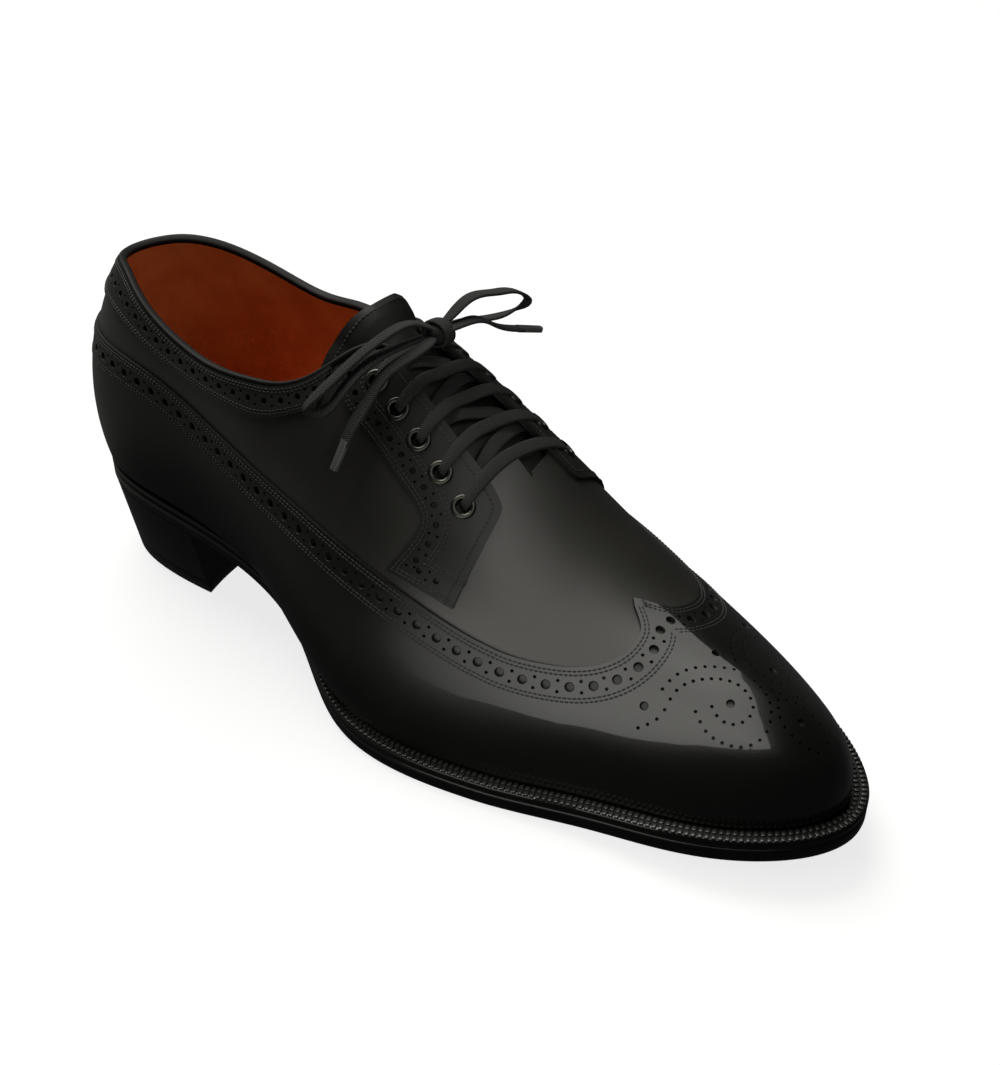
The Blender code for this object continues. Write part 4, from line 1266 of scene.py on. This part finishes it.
# The sole's edge from its underside up: inset from the outline and height.
SOLE_EDGE = [(0.9, 0.0), (0.2, 0.5), (0.0, 1.4), (0.0, 3.6), (0.2, 4.6), (0.7, SOLE_THICK)]


def build_outsole():
    rims = [outline(-inset) for inset, _ in SOLE_EDGE]

    def place(u, w, level):
        spots = []
        for (side_in, side_out, back, front), (_, height) in zip(rims, SOLE_EDGE):
            x = back + (front - back) * (1 - np.cos(np.pi * u)) / 2
            y = side_in(x) + (side_out(x) - side_in(x)) * w
            spots.append(np.stack([x, y, underside(x) + height], -1))
        return np.array(spots)[level, np.arange(len(u))]

    made = add_piece("sole_leather", block(170, 8, len(SOLE_EDGE) - 1, place), edge_ink, "sole", 50)
    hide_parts("outsole")


# The welt's section, from its lower outer corner round: how far out from its edge and height over the sole.
WELT_SECTION = [(-0.3, 0.3), (0.0, 0.7), (0.0, 2.3), (-0.4, 2.9), (-1.2, 3.0), (-12.0, 3.0), (-12.0, 0.3)]
# Two rows of wheel marks: how far in from the welt's edge, and the size of a mark.
WHEEL_ROWS = [(1.3, (1.3, 1.9, 1.3)), (3.5, (1.3, 1.8, 1.2))]
WHEEL_PITCH, WHEEL_START, WHEEL_UP = 1.9, 0.8, 2.9
WHEEL_FROM, WHEEL_TO = 128.0, 112.0


def build_welt():
    corners = len(WELT_SECTION)
    section = np.array(WELT_SECTION)

    def place(u, w):
        t = GIRTH * u
        k = np.rint(w * corners).astype(int) % corners
        plan = sole_plan(t, np.maximum(section[k, 0], -WELT_INNER - station_row(t)[:, 6]))
        return at_height(plan, underside(plan[:, 0]) + SOLE_THICK + section[k, 1])

    bm = grid(520, corners, place)
    bmesh.ops.recalc_face_normals(bm, faces=bm.faces)
    made = add_piece("welt_strip", bm, edge_ink, "sole", 50)
    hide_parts("welt")
    bm = bmesh.new()
    bmesh.ops.create_cube(bm, size=1.0)
    bmesh.ops.bevel(bm, geom=bm.edges, offset=0.2, affect="EDGES", segments=2, profile=0.5, material=-1)
    shape = shape_of(bm)
    groups = []
    t = np.linspace(t_along(INNER, WHEEL_FROM), t_along(OUTER, WHEEL_TO), 2000)
    for inset, size in WHEEL_ROWS:
        plan = sole_plan(t, -inset)
        points = at_height(plan, underside(plan[:, 0]) + SOLE_THICK + WHEEL_UP)
        reach = reach_of(points)
        centre = sample(points, reach, np.arange(WHEEL_START, reach[-1], WHEEL_PITCH))
        along = heading(centre)
        across = unit(np.cross([0.0, 0.0, 1.0], along))
        groups.append(scatter(shape, Stand(centre, along, across, np.cross(along, across)), size))
    # The marks wear the lighter colour, a painted highlight.
    joined("welt_wheeling", groups, wheel_mark_highlight, "sole")


HEEL_BOTTOM_BACK, HEEL_BOTTOM_SIDE = 10.4, 27.3
HEEL_CORNER_TOP, HEEL_CORNER_BOTTOM = 63.0, 66.0
HEEL_HOLLOW, HEEL_INSET = 4.0, 0.4
HEEL_SEAM, HEEL_SEAM_HALF = 6.0 / 29.0, 0.012
# Levels of the heel from the floor up: share of its height and how far its side is tucked in.
HEEL_LEVELS = [
    (0.0, 0.5), (0.02, 0.0), (HEEL_SEAM - HEEL_SEAM_HALF, 0.0), (HEEL_SEAM, 0.07),
    (HEEL_SEAM + HEEL_SEAM_HALF, 0.0), (0.8, 0.0), (1.0, 0.0),
]


def build_heel():
    side_in, side_out, back, _ = outline(0.0)
    seat_back = back + HEEL_INSET
    widest = np.maximum(side_out(HEEL_CORNER_TOP), -side_in(HEEL_CORNER_TOP))

    def place(u, w, level):
        share, tuck = np.array(HEEL_LEVELS)[level].T
        near = HEEL_BOTTOM_BACK + (seat_back - HEEL_BOTTOM_BACK) * share + tuck
        corner = HEEL_CORNER_BOTTOM + (HEEL_CORNER_TOP - HEEL_CORNER_BOTTOM) * share - tuck
        front = corner - HEEL_HOLLOW * (1 - (2 * w - 1) ** 2)
        x = near + (front - near) * (1 - np.cos(np.pi / 2 * u))
        seat_x = seat_back + (x - near) * (HEEL_CORNER_TOP - seat_back) / (corner - near)
        taper = (HEEL_BOTTOM_SIDE - tuck + (widest - HEEL_INSET - HEEL_BOTTOM_SIDE) * share) / widest
        y_in, y_out = side_in(seat_x) * taper, side_out(seat_x) * taper
        return np.stack([x, y_in + (y_out - y_in) * w, (underside(x) - 0.05) * share], -1)

    made = add_piece("heel_stack", block(44, 16, len(HEEL_LEVELS) - 1, place), stacked, "sole", 50)
    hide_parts("heel")


build_eyelets()
build_lace_bars()
build_wing()
build_collar()
build_facings()
build_base()
build_tongue()
build_lining()
build_outsole()
build_welt()
build_heel()
joined("stitching", stitch_groups, thread, "calf")

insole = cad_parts["insole"]
insole.data.materials.clear()
insole.data.materials.append(tan)


# Floor and light.


def stage_piece(name, look_name, bm, values):
    """A piece of the surroundings, with the values of its shader."""
    look, _, shader = shader_of(look_name)
    dial(shader, values)
    mesh = mesh_of(name, bm)
    mesh.materials.append(look)
    made = placed(name, mesh)
    return made


def build_floor():
    look = {
        "Base Color": (0.22, 0.22, 0.22, 1.0),
        "Roughness": 0.9,
        "Specular IOR Level": 0.0,
        "Emission Color": (1.0, 1.0, 1.0, 1.0),
        "Emission Strength": 0.80,
    }
    bm = bmesh.new()
    bmesh.ops.create_grid(bm, x_segments=1, y_segments=1, size=6.0)
    floor = stage_piece("floor", "pale_floor", bm, look)
    floor.location = (0.0, 0.0, -0.0006)
    floor.visible_glossy = False
    floor.visible_diffuse = False


# The soft light hangs close to the front of the shoe: a top sheet in plan, and a side sheet by x and z.
CANOPY_HEIGHT, CANOPY_SIDE, CANOPY_STRENGTH = 190.0, -100.0, 1.62
CANOPY_TOP = [
    (228, 190), (238, 190), (246, 130), (254, 95), (264, 68), (280, 28), (298, -16), (325, -60),
    (357, -100), (228, -100),
]
CANOPY_DROP = [
    (357, 190), (354, 161), (302, 109), (271, 84), (259, 69), (246, 57), (237, 48), (232, 38), (227, 32),
    (220, 29), (210, 27), (192, 23), (170, 24), (156, 38), (172, 68), (202, 96), (220, 125), (228, 190),
]
# Weak cards beside and behind the heel.
FILL_CARDS = [
    [(135, -270, -70), (-320, -270, -190), (-320, -270, 70), (110, -270, 60)],
    [(-320, -270, -190), (-320, 140, -190), (-320, 140, 60), (-320, -270, 70)],
]
FILL_STRENGTH = 0.15
LAMP_AT, LAMP_TO, LAMP_SIZE, LAMP_POWER = (-0.75, 0.30, 1.45), (0.0, 0.0, 0.06), 1.3, 35.0


def light_sheets(name, sheets, strength):
    """Glowing cloth that the camera doesn't see."""
    look = {
        "Base Color": (0.0, 0.0, 0.0, 1.0),
        "Emission Color": (1.0, 0.985, 0.93, 1.0),
        "Emission Strength": strength,
    }
    bm = bmesh.new()
    for sheet in sheets:
        bm.faces.new([bm.verts.new(to_metres(corner)) for corner in sheet])
    bmesh.ops.triangulate(bm, faces=bm.faces)
    cloth = stage_piece(name, name + "_cloth", bm, look)
    cloth.visible_camera = False
    cloth.visible_shadow = False


def build_lamp():
    lamp = bpy.data.lights.new("overhead", "AREA")
    lamp.shape = "DISK"
    lamp.size = LAMP_SIZE
    lamp.energy = LAMP_POWER
    lamp.color = (1.0, 0.985, 0.95)
    made = placed("overhead", lamp)
    made.location = LAMP_AT
    made.rotation_euler = (Vector(LAMP_TO) - Vector(LAMP_AT)).to_track_quat("-Z", "Y").to_euler()


def build_surround():
    """Dim surroundings for the shoe, with a pale backdrop that only the camera sees."""
    world = bpy.data.worlds.new("studio")
    bpy.context.scene.world = world
    world.use_nodes = True
    tree = world.node_tree
    tree.nodes.clear()
    out, mix, path = (
        tree.nodes.new("ShaderNode" + kind) for kind in ("OutputWorld", "MixShader", "LightPath")
    )
    dim = node(tree, "ShaderNodeBackground", Color=(0.03, 0.03, 0.03, 1.0), Strength=1.0)
    pale = node(tree, "ShaderNodeBackground", Color=(0.9, 0.9, 0.9, 1.0), Strength=1.0)
    for source, socket in zip((path.outputs["Is Camera Ray"], dim.outputs[0], pale.outputs[0]), mix.inputs):
        tree.links.new(source, socket)
    tree.links.new(mix.outputs[0], out.inputs["Surface"])


build_floor()
build_surround()
top_sheet = [(x, y, CANOPY_HEIGHT) for x, y in CANOPY_TOP]
side_sheet = [(x, CANOPY_SIDE, z) for x, z in CANOPY_DROP]
light_sheets("canopy", [top_sheet, side_sheet], CANOPY_STRENGTH)
light_sheets("fill", FILL_CARDS, FILL_STRENGTH)
build_lamp()
bpy.context.scene.view_settings.view_transform = "Standard"
